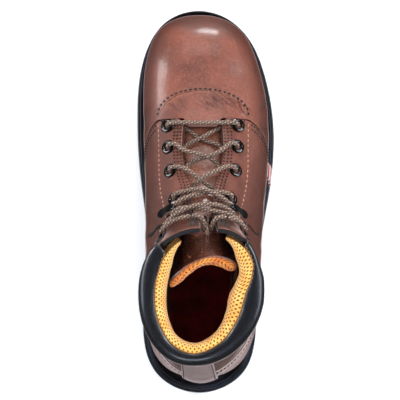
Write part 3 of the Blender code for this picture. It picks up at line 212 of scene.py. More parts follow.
def top_profile():
    """Side-view polyline (y, z) from the toe tip over the instep to the collar's front."""
    tip = OUTLINE[:, 1].max() - inset_at(266)
    base = float(feather_height(tip))
    turn = np.linspace(math.pi / 2, 0, 9)
    dome_y = TOE_DOME_REAR + (tip - TOE_DOME_REAR) * np.sin(turn) ** (2 / 2.6)
    dome_z = base + (TOE_DOME_HEIGHT - base) * np.cos(turn) ** (2 / 2.2)
    return through(np.concatenate([np.stack([dome_y, dome_z], axis=1), INSTEP_LINE]), 500)


TOP = top_profile()
TOP_LENGTH = lengths(TOP)
BACK = through(BACK_LINE, 120)


def q_at(t):
    """Distance along the top centre line at which it passes y = t."""
    return np.interp(-np.asarray(t, float), -TOP[:, 0], TOP_LENGTH)


def t_at(q):
    """y of the top centre line at the distance q along it."""
    return np.interp(q, TOP_LENGTH, TOP[:, 0])


def rear_share(u):
    return np.clip((np.asarray(u) - HEEL_U) / (1 - HEEL_U), 0, 1)


def foot_y(u, tip, heel):
    """y where the ring at u meets the sole, for rings in front of the heel's back."""
    turn = math.pi * np.clip(np.asarray(u) / HEEL_U, 0, 1)
    return heel + (tip - heel) * (1 + np.cos(turn)) / 2


U = np.linspace(0, 1, U_COUNT)
TIP_Y, HEEL_Y = inset_outline(inset_at)[:, 1].max(), inset_outline(inset_at)[:, 1].min()
FAN_Q = float(q_at(foot_y(FAN_U, TIP_Y, HEEL_Y)))
FAN_STEPS = ([0.2, 0.25, 0.3, 0.4, 0.5, 0.6, 0.8, 1.0], [0, 0.19, 0.32, 0.47, 0.565, 0.65, 0.82, 1.0])


def ring_q(u):
    """Distance along the top centre line at which the ring at u crosses it."""
    straight = q_at(foot_y(u, TIP_Y, HEEL_Y))
    leaning = FAN_Q + spline(*FAN_STEPS)(u) * (TOP_LENGTH[-1] - FAN_Q)
    return np.where(u <= FAN_U, straight, leaning)


RING_Q = ring_q(U)


def quarter_arc(power):
    """Unit superellipse quarter from (1, 0) to (0, 1)."""
    turn = np.linspace(0, math.pi / 2, RING_SAMPLES)
    return np.cos(turn) ** (2 / power), np.sin(turn) ** (2 / power)


def ring_side(foot, widest, top, belly, height, low_power, high_power):
    """(x, s) polyline up one side of a ring, resampled evenly: foot to widest point to top."""
    cos_low, sin_low = quarter_arc(low_power)
    cos_high, sin_high = quarter_arc(high_power)
    x = [foot + (widest - foot) * cos_low[::-1], top + (widest - top) * cos_high]
    s = [belly * (1 - sin_low[::-1]), belly + (height - belly) * sin_high]
    points = np.stack([np.concatenate(x), np.concatenate(s)], axis=1)
    along = lengths(points)
    return pick(points, along, np.linspace(0, along[-1], V_SIDE + 1)), along[-1]


def build_layer(d):
    """Points of the last surface at layer d: U_COUNT rings of 2 * V_SIDE + 1 points."""
    outline = inset_outline(lambda y: inset_at(y) - d)
    tip, heel = outline[:, 1].max(), outline[:, 1].min()
    tip_x = outline[outline[:, 1].argmax(), 0]
    top, back = offset_profile(TOP, d), offset_profile(BACK[::-1], d)[::-1]
    rear = rear_share(U)
    foot = foot_y(U, tip, heel)
    foot_z = feather_height(foot)
    back += ([heel, feather_height(heel)] - back[0]) * (1 - np.linspace(0, 1, len(back))[:, None]) ** 4
    share = np.linspace(0, 1, len(back))
    low_y = np.where(rear > 0, np.interp(rear, share, back[:, 0]), foot)
    low_z = np.where(rear > 0, np.interp(rear, share, back[:, 1]), foot_z)
    straight = np.interp(-low_y, -top[:, 0], TOP_LENGTH)
    at = np.where(U <= FAN_U, straight, RING_Q)
    nudge = step(U, 0.15, FAN_U)
    at = np.where(U <= FAN_U, straight * (1 - nudge) + RING_Q * nudge, at)
    high_y, high_z = np.interp(at, TOP_LENGTH, top[:, 0]), np.interp(at, TOP_LENGTH, top[:, 1])
    inner_foot, outer_foot = sides(outline, foot)
    blend = step(U, 0.12, 0.3)
    bulge = 3.5 * step(U, 0, 0.1)
    centre = tip_x + (CENTRE_X - tip_x) * step(U, 0, FAN_U)
    belly_share = spline([0, 0.2, 0.3, 0.4, 0.5, 0.6, 1.0], [0.3, 0.3, 0.35, 0.42, 0.46, 0.48, 0.5])(U)
    low_power = spline([0, 0.2, 0.4, 0.6, 0.8, 1.0], [2, 2, 1.85, 1.8, 2, 2.1])(U)
    high_power = spline([0, 0.2, 0.3, 0.4, 0.6, 1.0], [2.5, 2.35, 2.2, 2.1, 2.1, 2.15])(U)
    at_top = step(U, HEEL_U, 1.0)
    low_powers = [low_power, low_power - COLLAR_LEAN_BEHIND * at_top]
    high_powers = [high_power, high_power + COLLAR_FULL_FRONT * at_top]
    widths = [spline(HALF_WIDTH_U, w)(U) for w in (INNER_HALF_WIDTH, OUTER_HALF_WIDTH)]
    points = np.zeros((U_COUNT, 2 * V_SIDE + 1, 3))
    girths = np.zeros((U_COUNT, 2))
    for i in range(U_COUNT):
        rise = np.array([high_y[i] - low_y[i], high_z[i] - low_z[i]])
        height = np.linalg.norm(rise)
        for side, foot_x in ((0, inner_foot[i]), (1, outer_foot[i])):
            sign = (-1, 1)[side]
            foot_x = BACK_SHIFT * rear[i] ** 2 if rear[i] > 0 or i == 0 else foot_x
            near_toe = foot_x + sign * bulge[i]
            widest = (1 - blend[i]) * near_toe + blend[i] * sign * (widths[side][i] + d)
            if i == 0:
                points[i] = tip_x, tip, low_z[0]
                girths[i] = 1e-3
                continue
            belly = belly_share[i] * height
            powers = low_powers[side][i], high_powers[side][i]
            line, girth = ring_side(foot_x, widest, centre[i], belly, height, *powers)
            low, up = np.array([low_y[i], low_z[i]]), rise / height
            rows = np.column_stack([line[:, 0], low + line[:, 1:] * up])
            girths[i, side] = girth
            if side == 0:
                points[i, : V_SIDE + 1] = rows
            else:
                points[i, V_SIDE:] = rows[::-1]
    return points, girths


GRID = [build_layer(d) for d in LAYERS]
POINTS = np.stack([points for points, _ in GRID])
GIRTH = GRID[list(LAYERS).index(0.0)][1]


def cubic_weights(f):
    """Catmull-Rom weights of the four samples round a fraction f."""
    return np.stack(
        [
            -0.5 * f + f**2 - 0.5 * f**3,
            1 - 2.5 * f**2 + 1.5 * f**3,
            0.5 * f + 2 * f**2 - 1.5 * f**3,
            -0.5 * f**2 + 0.5 * f**3,
        ]
    )


def last(u, v, d):
    """Points on the last surface, in mm. u is 0 at the toe tip and 1 at the collar, v is -1 to 1."""
    u, v, d = np.broadcast_arrays(*(np.asarray(a, float) for a in (u, v, d)))
    a = np.clip(u, 0, 1) * (U_COUNT - 1)
    b = (np.clip(v, -1, 1) + 1) * V_SIDE
    c = np.clip((d - LAYERS[0]) / (LAYERS[1] - LAYERS[0]), 0, len(LAYERS) - 1.0001)
    i, j, k = np.minimum(a.astype(int), U_COUNT - 2), np.minimum(b.astype(int), 2 * V_SIDE - 1), c.astype(int)
    wu, wv = cubic_weights(a - i), cubic_weights(b - j)
    out = np.zeros(u.shape + (3,))
    for layer, weight in ((k, 1 - (c - k)), (k + 1, c - k)):
        for m in range(4):
            row = np.clip(i + m - 1, 0, U_COUNT - 1)
            for n in range(4):
                column = np.clip(j + n - 1, 0, 2 * V_SIDE)
                share = (weight * wu[m] * wv[n])[..., None]
                out += share * POINTS[layer, row, column]
    return out


def uv_at(q, g):
    """(u, v) of the place q along the top line and g sideways from it."""
    q, g = np.broadcast_arrays(np.asarray(q, float), np.asarray(g, float))
    u = np.interp(q, RING_Q, U)
    inner, outer = np.interp(u, U, GIRTH[:, 0]), np.interp(u, U, GIRTH[:, 1])
    return u, np.clip(np.where(g < 0, g / inner, g / outer), -1, 1)


def spot(q, g, d):
    return last(*uv_at(q, g), d)


def u_of_foot(y):
    """The ring that meets the sole at y."""
    ahead = U[: int(HEEL_U * (U_COUNT - 1)) + 1]
    return np.interp(-np.asarray(y, float), -foot_y(ahead, TIP_Y, HEEL_Y), ahead)


def depth_to_u(v, depth):
    """The ring that lies depth below the collar's top edge along the line of constant v."""
    v, depth = np.broadcast_arrays(np.asarray(v, float), np.asarray(depth, float))
    found = np.empty(v.shape)
    for place in np.ndindex(v.shape):
        line = last(U[::-1], v[place], 0)
        found[place] = np.interp(depth[place], lengths(line), U[::-1])
    return found


def ground(y):
    """Height of the tread's contact surface: flat heel and forefoot, arched waist, toe spring."""
    y = np.asarray(y, float)
    spring = TOE_SPRING * (np.clip(y - TOE_SPRING_START, 0, None) / TOE_SPRING_LENGTH) ** 2
    return np.where(in_waist(y), WAIST_HEIGHT, spring)


def in_waist(y):
    return (y > WAIST_REAR + 0.5) & (y < WAIST_FRONT - 1)


LUG_HEIGHT, LUG_PITCH, LUG_LENGTH, LUG_GROOVE, LUG_LEAN = 5.0, 16.2, 10.5, 4.0, 2.2


def tread_root(y):
    """Height of the surface that the lugs stand on."""
    y = np.asarray(y, float)
    return np.where(in_waist(y), WAIST_HEIGHT, ground(y) + LUG_HEIGHT)


sole_split = spline([-44, 30, 60, 100, 150, 200, 240, 266], [14, 15, 18.5, 13, 11, 11.5, 17, 26])
cup_gap = spline([-44, 0, 60, 110, 235, 266], [4.6, 4.9, 5.0, 3.9, 3.4, 2.2])  # upper's foot line to the lip
lip_flare = spline([-44, 0, 50, 100, 266], [4.0, 3.6, 2.0, 0.6, 0.6])  # the heel's wall leans out


BOARD_THICK = 2.0


def board_height(y):
    """Top of the insole board, just under the upper's foot line."""
    return feather_height(y) - GAP


def floor_height(y):
    """Bottom of the midsole's cup, just under the insole board."""
    return board_height(y) - BOARD_THICK - GAP


def lug_boxes():
    """Corner lists of the tread's lugs in plan: chevron rows under forefoot and heel."""
    boxes = []
    for start, count in ((-2 * LUG_PITCH, 5), (94.0, 10)):  # the heel's middle row sits on the origin
        for row in range(count):
            y = start + row * LUG_PITCH
            left, right = sides(inset_outline(3.5), np.array([y]))
            left, right = float(left[0]), float(right[0])
            lanes = 4 if start > 0 and right - left > 75 else 3
            width = (right - left - LUG_GROOVE * (lanes - 1)) / lanes
            for lane in range(lanes):
                x0 = left + lane * (width + LUG_GROOVE)
                lean = LUG_LEAN * (lane - (lanes - 1) / 2) / ((lanes - 1) / 2)
                low = y - LUG_LENGTH / 2 - abs(lean)
                boxes.append((x0, x0 + width, low, low + LUG_LENGTH, lean))
    return boxes


def seat(q, g):
    """Frame of a fitting on the facings, as a function from mm to a point.

    Its arguments are away from the lacing gap, up the facing and out of the leather.
    """
    side, reach = (1 if g > 0 else -1), 1.5
    centre = spot(q, g, 0)
    away = side * (spot(q, g + reach, 0) - spot(q, g - reach, 0))
    up = spot(q + reach, g, 0) - spot(q - reach, g, 0)
    out = side * np.cross(up, away)
    up, out = up / np.linalg.norm(up), out / np.linalg.norm(out)
    away = side * np.cross(out, up)
    out = out * np.sign(out @ (spot(q, g, 4) - spot(q, g, -4)))
    away = away * np.sign(away @ (spot(q, g + side * reach, 0) - centre))
    return lambda a, b, c: centre + a * away + b * up + c * out


# ---------------------------------------------------------------- node materials
def srgb(red, green, blue):
    """A linear colour from 0 to 255 display values."""
    share = np.array([red, green, blue]) / 255.0
    return tuple(np.where(share <= 0.04045, share / 12.92, ((share + 0.055) / 1.055) ** 2.4)) + (1.0,)


PAINTED_EDGE_HIGHLIGHT = srgb(214, 188, 184)  # painted highlight: leather is drawn pale where it is seen edge-on


class Paint:
    """A procedural material: each method adds nodes and returns the socket that holds their result."""

    def __init__(self, name):
        self.material = bpy.data.materials.new(name)
        self.material.use_nodes = True
        self.nodes = self.material.node_tree.nodes
        self.links = self.material.node_tree.links
        self.shader = self.nodes["Principled BSDF"]
        self.place = self.add("ShaderNodeTexCoord").outputs["Object"]

    def add(self, kind, **settings):
        node = self.nodes.new(kind)
        for key, value in settings.items():
            setattr(node, key, value)
        return node

    def plug(self, socket, value):
        if isinstance(value, bpy.types.NodeSocket):
            self.links.new(value, socket)
        else:
            socket.default_value = value

    def math(self, operation, a, b=0.0, c=0.0, clamp=False):
        node = self.add("ShaderNodeMath", operation=operation, use_clamp=clamp)
        for socket, value in zip(node.inputs, (a, b, c)):
            self.plug(socket, value)
        return node.outputs[0]

    def times(self, a, b, clamp=False):
        return self.math("MULTIPLY", a, b, clamp=clamp)

    def plus(self, a, b):
        return self.math("ADD", a, b)

    def minus(self, a, b):
        return self.math("SUBTRACT", a, b)

    def mix(self, factor, a, b):
        node = self.add("ShaderNodeMix", data_type="RGBA")
        self.plug(node.inputs[0], factor)
        self.plug(node.inputs[6], a)
        self.plug(node.inputs[7], b)
        return node.outputs[2]

    def stretch(self, value, low, high, to_low=0.0, to_high=1.0):
        """value from low..high to to_low..to_high, smooth and clamped."""
        node = self.add("ShaderNodeMapRange", interpolation_type="SMOOTHSTEP")
        for socket, number in zip(node.inputs, (value, low, high, to_low, to_high)):
            self.plug(socket, number)
        return node.outputs[0]

    def noise(self, size, detail=2.0, roughness=0.5, distortion=0.0, place=None):
        """Soft noise whose features are about size mm across."""
        node = self.add("ShaderNodeTexNoise")
        self.plug(node.inputs["Vector"], place or self.place)
        node.inputs["Scale"].default_value = 1 / (size * MM)
        node.inputs["Detail"].default_value = detail
        node.inputs["Roughness"].default_value = roughness
        node.inputs["Distortion"].default_value = distortion
        return node.outputs["Fac"]

    def cells(self, size, feature="DISTANCE_TO_EDGE", place=None):
        node = self.add("ShaderNodeTexVoronoi", feature=feature)
        self.plug(node.inputs["Vector"], place or self.place)
        node.inputs["Scale"].default_value = 1 / (size * MM)
        return node.outputs["Distance"]

    def attribute(self, name):
        return self.add("ShaderNodeAttribute", attribute_name=name).outputs["Fac"]

    def flat_place(self):
        """(along, across) in mm, from the mesh's UV map."""
        split = self.add("ShaderNodeSeparateXYZ")
        self.links.new(self.add("ShaderNodeUVMap").outputs[0], split.inputs[0])
        return split.outputs[0], split.outputs[1]

    def wave(self, along, period, shift=0.0):
        """0 to 1 and back along a length."""
        turned = self.math("MULTIPLY_ADD", along, 2 * math.pi / period, shift)
        return self.math("MULTIPLY_ADD", self.math("SINE", turned), 0.5, 0.5)

    def bump(self, height, depth, normal=None):
        """A normal from a 0 to 1 height that stands for depth mm."""
        node = self.add("ShaderNodeBump")
        node.inputs["Strength"].default_value = 1.0
        node.inputs["Distance"].default_value = depth * MM
        self.plug(node.inputs["Height"], height)
        if normal is not None:
            self.plug(node.inputs["Normal"], normal)
        return node.outputs[0]

    def finish(self, colour, roughness, normal=None, **others):
        self.plug(self.shader.inputs["Base Color"], colour)
        self.plug(self.shader.inputs["Roughness"], roughness)
        if normal is not None:
            self.plug(self.shader.inputs["Normal"], normal)
        for key, value in others.items():
            self.plug(self.shader.inputs[key.replace("_", " ")], value)
        return self.material


def leather_paint(name, dark, middle, light, gloss=0.4, grain=0.9, coat=0.3, relief=1.0, heel=None):
    """Full-grain leather: fine pebbles, cloudy colour, paler rubbed edges, painted shade in folds and on sides
    turned from the view, and a painted highlight where it is seen edge-on.

    A greyer heel colour, if given, takes over round the back of the boot: partly the heel leather's own tone,
    partly a painted pale reflection.
    """
    p = Paint(name)
    clouds = p.noise(26, 3, 0.6)
    colour = p.mix(p.stretch(clouds, 0.3, 0.62, 0.5, 1.0), dark, middle)
    if heel is not None:
        split = p.add("ShaderNodeSeparateXYZ")
        p.links.new(p.place, split.inputs[0])
        # partly painted reflection: a paler, greyer colour mixed in round the heel
        colour = p.mix(p.stretch(split.outputs[1], -0.014, 0.024, 0.85, 0.0), colour, heel)
    speckle = p.noise(1.7, 4, 0.7)
    colour = p.mix(p.stretch(speckle, 0.5, 0.8, 0.0, 0.45), colour, light)
    colour = p.mix(p.stretch(speckle, 0.25, 0.47, 0.55, 0.0), colour, dark)
    pebbles = p.cells(grain)
    valley = p.stretch(pebbles, 0.0, 0.18)
    colour = p.mix(p.times(p.minus(1.0, valley), 0.5), colour, dark)
    # painted shade from each piece's mark: darker in fold valleys and beside the lace stays
    painted_shade = p.attribute("painted_shade")
    colour = p.mix(p.times(painted_shade, 0.85, clamp=True), colour, dark)
    rubbed = p.attribute("rubbed")
    colour = p.mix(p.times(rubbed, p.stretch(speckle, 0.3, 0.7, 0.15, 0.6)), colour, light)
    # painted shade: colour darkened on sides that turn away from the view
    turned_away = p.add("ShaderNodeLayerWeight").outputs["Facing"]
    colour = p.mix(p.stretch(turned_away, 0.15, 0.6, 0.0, 0.68), colour, dark)
    # painted highlight: a pale colour mixed in where the surface is seen edge-on
    grazing = p.stretch(turned_away, 0.84, 0.99, 0.0, 0.7)
    colour = p.mix(grazing, colour, PAINTED_EDGE_HIGHLIGHT)
    normal = p.bump(valley, 0.09 * relief)
    normal = p.bump(p.noise(0.55, 3, 0.6), 0.05, normal)
    normal = p.bump(p.noise(6, 3, 0.6, 0.4), 0.45 * relief, normal)
    roughness = p.plus(p.stretch(speckle, 0.25, 0.75, gloss - 0.06, gloss + 0.1), p.times(rubbed, 0.1))
    return p.finish(colour, roughness, normal, Coat_Weight=coat, Coat_Roughness=0.2, Specular_IOR_Level=0.5)


def cut_edge_paint(name, colour, fibre):
    """Raw cut edge of leather: short pale and dark fibres."""
    p = Paint(name)
    streak = p.noise(0.5, 5, 0.8)
    made = p.mix(p.stretch(streak, 0.35, 0.65), colour, fibre)
    return p.finish(made, 0.85, p.bump(streak, 0.2))


def mesh_paint(name, bright, deep, hole):
    """Knitted spacer mesh: fine ribs with staggered long openings, from the UV map in mm."""
    p = Paint(name)
    along, across = p.flat_place()
    column_pitch, row_pitch = 3.0, 2.5
    row = p.times(across, 1 / row_pitch)
    shift = p.times(p.math("MODULO", p.math("FLOOR", p.plus(row, 100.0)), 2.0), 0.5)
    column = p.plus(p.times(along, 1 / column_pitch), shift)
    x = p.times(p.minus(p.math("FRACT", p.plus(column, 400.0)), 0.5), column_pitch)
    y = p.times(p.minus(p.math("FRACT", p.plus(row, 100.0)), 0.5), row_pitch * 0.7)
    away = p.math("SQRT", p.plus(p.times(x, x), p.times(y, y)))
    open_share = p.stretch(away, 0.42, 0.85, 1.0, 0.0)
    knit = p.times(p.wave(along, 0.62), p.wave(across, 0.5))
    colour = p.mix(p.stretch(p.noise(9, 2), 0.3, 0.7), bright, deep)
    colour = p.mix(p.stretch(knit, 0.0, 1.0, 0.25, 0.0), colour, deep)
    colour = p.mix(open_share, colour, hole)
    height = p.minus(p.times(knit, 0.25), open_share)
    rough = p.stretch(knit, 0.0, 1.0, 0.95, 0.75)
    return p.finish(colour, rough, p.bump(height, 0.5), Sheen_Weight=0.35, Sheen_Roughness=0.4)


def textile_paint(name, dark, light, pitch=0.8):
    """Plain woven or knitted lining, from its place in space."""
    p = Paint(name)
    split = p.add("ShaderNodeSeparateXYZ")
    p.links.new(p.place, split.inputs[0])
    one = p.wave(split.outputs[1], pitch * MM)
    two = p.wave(p.plus(split.outputs[2], split.outputs[0]), pitch * MM)
    weave = p.times(one, two)
    colour = p.mix(p.stretch(p.noise(12, 3), 0.3, 0.7), dark, light)
    colour = p.mix(p.stretch(weave, 0.0, 1.0, 0.4, 0.0), colour, dark)
    return p.finish(colour, 0.92, p.bump(weave, 0.18), Sheen_Weight=0.2)


def rubber_paint(name, dark, light, gloss, grain=0.5, depth=0.08):
    """Moulded rubber or polyurethane: fine stipple, faint flow marks and dusty edges."""
    p = Paint(name)
    stipple = p.noise(grain, 3, 0.6)
    flow = p.noise(35, 3, 0.55, 0.6)
    colour = p.mix(p.stretch(flow, 0.35, 0.7), dark, light)
    colour = p.mix(p.stretch(stipple, 0.6, 0.85, 0.0, 0.3), colour, light)
    roughness = p.stretch(flow, 0.3, 0.7, gloss, gloss + 0.14)
    return p.finish(colour, roughness, p.bump(stipple, depth), Specular_IOR_Level=0.45)


def metal_paint(name, colour, worn, gloss, metallic=1.0, coat=0.0):
    """Plated or painted metal: fine scratches and a little wear."""
    p = Paint(name)
    scratch = p.noise(1.2, 5, 0.7, 1.5)
    patch = p.noise(4.5, 3, 0.6)
    made = p.mix(p.stretch(patch, 0.58, 0.75, 0.0, 0.5), colour, worn)
    roughness = p.stretch(scratch, 0.3, 0.8, gloss, gloss + 0.16)
    return p.finish(made, roughness, p.bump(scratch, 0.012), Metallic=metallic, Coat_Weight=coat,
                    Coat_Roughness=0.08)


def cord_paint(name, dark, middle, fleck, strands=10, pitch=6.0):
    """Round braided lace: two families of strands that pass over each other, some of them tan."""
    p = Paint(name)
    turn, along = p.flat_place()
    around = p.times(turn, float(strands))
    lengthways = p.times(along, strands / pitch / 2)
    right = p.plus(p.plus(around, lengthways), 4000.0)
    left = p.plus(p.minus(around, lengthways), 4000.0)
    ridge_right = p.math("SINE", p.times(p.math("FRACT", right), math.pi))
    ridge_left = p.math("SINE", p.times(p.math("FRACT", left), math.pi))
    pair = p.plus(p.math("FLOOR", right), p.math("FLOOR", left))
    over = p.math("GREATER_THAN", p.math("MODULO", pair, 2.0), 0.5)
    ridge = p.plus(p.times(over, ridge_right),
                   p.times(p.minus(1.0, over), ridge_left))
    tan_strand = p.math("LESS_THAN", p.math("MODULO", p.math("FLOOR", right), 2.0), 0.5)
    on_top = p.math("MULTIPLY_ADD", over, 0.7, 0.3)
    tan_share = p.times(p.times(on_top, p.math("MULTIPLY_ADD", tan_strand, 0.6, 0.4)),
                       p.stretch(ridge_right, 0.3, 0.8))
    colour = p.mix(p.stretch(ridge, 0.1, 0.9), dark, middle)
    colour = p.mix(tan_share, colour, fleck)
    fuzz = p.noise(0.35, 3, 0.7)
    height = p.plus(ridge, p.times(fuzz, 0.25))
    return p.finish(colour, 0.7, p.bump(height, 0.35), Sheen_Weight=0.04)


def thread_paint(name, colour, dark):
    """Twisted sewing thread."""
    p = Paint(name)
    twist = p.noise(0.3, 3, 0.7)
    made = p.mix(p.stretch(twist, 0.3, 0.7), dark, colour)
    return p.finish(made, 0.6, p.bump(twist, 0.1), Sheen_Weight=0.15)


def board_paint(name, dark, light):
    """Pressed fibre board."""
    p = Paint(name)
    fibre = p.noise(1.6, 6, 0.8, 2.0)
    return p.finish(p.mix(p.stretch(fibre, 0.3, 0.7), dark, light), 0.9, p.bump(fibre, 0.15))


def foam_paint(name, dark, light):
    """Open-cell foam."""
    p = Paint(name)
    pores = p.cells(0.9)
    return p.finish(p.mix(p.stretch(pores, 0.0, 0.25), dark, light), 0.95, p.bump(pores, 0.4))


def tab_paint(name, dark, light, stripe):
    """Woven tab with plain bands across it and no lettering."""
    p = Paint(name)
    along, across = p.flat_place()
    weave = p.times(p.wave(along, 0.7), p.wave(across, 0.7))
    band = p.math("GREATER_THAN", p.wave(along, 6.6), 0.5)
    colour = p.mix(band, light, stripe)
    return p.finish(p.mix(p.stretch(weave, 0.0, 1.0, 0.45, 0.0), colour, dark), 0.8, p.bump(weave, 0.2))


# ---------------------------------------------------------------- meshes
WELD_WITHIN = 2e-6  # metres; points of a panel that meet at the toe tip


def piece(name, points, faces, paints, body="boot", stands_for=(), slot=None, uv=None, marks=None,
          second=None, crisp=50, weld=False):
    """A named shown object from points in mm, riding on a CAD body.

    uv is one (along, across) pair per face corner, marks are named values per point, and second lists
    the faces that take the second material. A piece that stands for CAD nodes hides them. slot is not used.
    """
    mesh = bpy.data.meshes.new(name)
    mesh.from_pydata((np.asarray(points, float) * MM).tolist(), [], faces)
    for paint in paints if isinstance(paints, (list, tuple)) else [paints]:
        mesh.materials.append(paint)
    if second is not None:
        index = np.zeros(len(mesh.polygons), np.int32)
        index[second] = 1
        mesh.polygons.foreach_set("material_index", index)
    if uv is not None:
        layer = mesh.uv_layers.new(name="mm")
        layer.data.foreach_set("uv", np.asarray(uv, np.float32).ravel())
    for mark, values in (marks or {}).items():
        attribute = mesh.attributes.new(mark, "FLOAT", "POINT")
        attribute.data.foreach_set("value", np.asarray(values, np.float32).ravel())
    work = bmesh.new()
    work.from_mesh(mesh)
    if weld:
        bmesh.ops.remove_doubles(work, verts=work.verts, dist=WELD_WITHIN)
    if work.calc_volume(signed=True) < 0:
        bmesh.ops.reverse_faces(work, faces=work.faces)
    work.to_mesh(mesh)
    work.free()
    mesh.shade_smooth()
    mesh.set_sharp_from_angle(angle=math.radians(crisp))
    obj = bpy.data.objects.new(name, mesh)
    bpy.context.scene.collection.objects.link(obj)
    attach(obj, body)
    if stands_for:
        nodes = [stands_for] if isinstance(stands_for, str) else stands_for
        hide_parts(*nodes)
    return obj


def quads(rows, columns, start=0, flip=False, wrap=False):
    """Faces of a grid of points, as an array; wrap joins the last column to the first."""
    i, j = np.meshgrid(np.arange(rows - 1), np.arange(columns if wrap else columns - 1), indexing="ij")
    a, b = i * columns + j, i * columns + (j + 1) % columns
    made = np.stack([a, b, b + columns, a + columns], axis=-1).reshape(-1, 4) + start
    return made[:, ::-1] if flip else made


def slab_faces(rows, columns):
    """Faces of two like grids of points, the second one turned over, then those of the rim between them."""
    count = rows * columns
    grid = np.arange(count).reshape(rows, columns)
    edge = np.concatenate([grid[:, 0], grid[-1, 1:], grid[-2::-1, -1], grid[0, -2:0:-1]])
    following = np.roll(edge, -1)
    rim = np.stack([edge, following, following + count, edge + count], axis=1)
    return np.concatenate([quads(rows, columns), quads(rows, columns, count, flip=True), rim]), len(rim)


def tube_faces(rings, around):
    """Faces of a tube through rings of points, then its two caps."""
    end = (rings - 1) * around
    caps = [tuple(range(around))[::-1], tuple(range(end, end + around))]
    return quads(rings, around, wrap=True).tolist() + caps


def grid_runs(points):
    """Distance in mm from each of a grid's four edges, along its lines."""
    down = np.linalg.norm(np.diff(points, axis=0), axis=2)
    across = np.linalg.norm(np.diff(points, axis=1), axis=2)
    down = np.concatenate([np.zeros((1, points.shape[1])), np.cumsum(down, axis=0)])
    across = np.concatenate([np.zeros((points.shape[0], 1)), np.cumsum(across, axis=1)], axis=1)
    return down, down[-1:] - down, across, across[:, -1:] - across


def graded(length, pitch, first=True, last_end=True):
    """Shares 0 to 1 along length mm, closer together near the chosen ends."""
    near = np.array([0.0, 0.2, 0.5, 0.9, 1.5]) / length
    middle = np.linspace(0, 1, max(int(length / pitch), 3) + 1)
    if first:
        middle = np.concatenate([near, middle[middle > near[-1] * 1.3]])
    if last_end:
        middle = np.concatenate([middle[middle < 1 - near[-1] * 1.3], 1 - near[::-1]])
    return middle


THINNEST = 0.05  # least thickness left at a panel's rounded edge
RUB_WIDTH = 0.9  # how far the paler rubbed leather reaches in from an edge


def sheet(name, u, v, outer, inner, paints, rounding=(0, 0, 0, 0), shape=None, painted_shade=None, weld=False,
          mesh_uv=False, **links):
    """A leather or lining panel over a fine (u, v) grid, with rounded and rubbed edges.

    rounding is the edge radius at the first row, last row, first column and last column. shape gives
    extra height in mm from points, and the other function gives 0 to 1 painted shade from points, darkness
    drawn into folds.
    """
    u, v = np.broadcast_arrays(u, v)
    outer, inner = np.broadcast_to(outer, u.shape), np.broadcast_to(inner, u.shape)
    flat = last(u, v, outer)
    runs = grid_runs(flat)
    lower, near = np.zeros(u.shape), np.full(u.shape, 99.0)
    for run, radius in zip(runs, rounding):
        if radius > 0:
            t = np.clip(1 - run / radius, 0, 1)
            lower = np.maximum(lower, radius * (1 - np.sqrt(1 - t * t)))
            near = np.minimum(near, run)
    lift = shape(flat) if shape is not None else 0.0
    top = last(u, v, np.maximum(outer - lower + lift, inner + THINNEST))
    under = last(u, v, inner)
    rows, columns = u.shape
    count = rows * columns
    faces, rim_count = slab_faces(rows, columns)
    marks = {"rubbed": np.concatenate([np.exp(-near / RUB_WIDTH).ravel(), np.zeros(count)])}
    if painted_shade is not None:
        marks["painted_shade"] = np.concatenate([painted_shade(flat).ravel(), np.zeros(count)])
    second = np.arange(len(faces) - rim_count, len(faces)) if isinstance(paints, (list, tuple)) else None
    uv = None
    if mesh_uv:
        pairs = np.stack([runs[2], runs[0]], axis=-1).reshape(-1, 2)
        uv = np.concatenate([pairs, pairs])[faces.ravel()]
    points = np.concatenate([top.reshape(-1, 3), under.reshape(-1, 3)])
    piece(name, points, faces.tolist(), paints, marks=marks, second=second, uv=uv, weld=weld, **links)


def frames_along(path):
    """Unit directions along a path with two unit sideways vectors carried along without twist."""
    along = np.gradient(path, axis=0)
    along /= np.linalg.norm(along, axis=1)[:, None]
    side = np.cross(along[0], [0.3, 0.2, 1.0])
    sides_, others = np.empty_like(along), np.empty_like(along)
    for i, direction in enumerate(along):
        side = side - direction * (side @ direction)
        side /= np.linalg.norm(side)
        sides_[i], others[i] = side, np.cross(direction, side)
    return along, sides_, others


def cord(name, path, radius, around, paint, texture=None, **links):
    """A round cord along a polyline with rounded ends; radius may change along it.

    texture gives extra radius in mm from (turn, length) arrays.
    """
    path = np.asarray(path, float)
    along, side, other = frames_along(path)
    run = lengths(path)
    size = np.broadcast_to(np.asarray(radius, float), len(path)).copy()
    for k, share in enumerate((0.45, 0.8, 0.95)):
        size[k] *= share
        size[-1 - k] *= share
    turn = full_turn(around)
    reach = size[:, None] + (texture(turn[None], run[:, None]) if texture else 0.0)
    ring = np.cos(turn)[None, :, None] * side[:, None] + np.sin(turn)[None, :, None] * other[:, None]
    points = (path[:, None] + reach[..., None] * ring).reshape(-1, 3)
    i, j = np.meshgrid(np.arange(len(path) - 1), np.arange(around), indexing="ij")
    corner_turn = np.stack([j, j + 1, j + 1, j], axis=-1) / around
    corner_run = np.stack([run[i], run[i], run[i + 1], run[i + 1]], axis=-1)
    uv = np.stack([corner_turn, corner_run], axis=-1).reshape(-1, 2)
    uv = np.concatenate([uv, np.zeros((2 * around, 2))])
    piece(name, points, tube_faces(len(path), around), paint, uv=uv, crisp=180, **links)


THREAD_RINGS = [  # (along, thickness, height) of one stitch, as shares
    (-1.0, 0.25, -0.75), (-0.82, 0.8, -0.3), (-0.4, 1.0, 0.35),
    (0.4, 1.0, 0.35), (0.82, 0.8, -0.3), (1.0, 0.25, -0.75),
]  # fmt: skip
THREAD_SIDES = 6


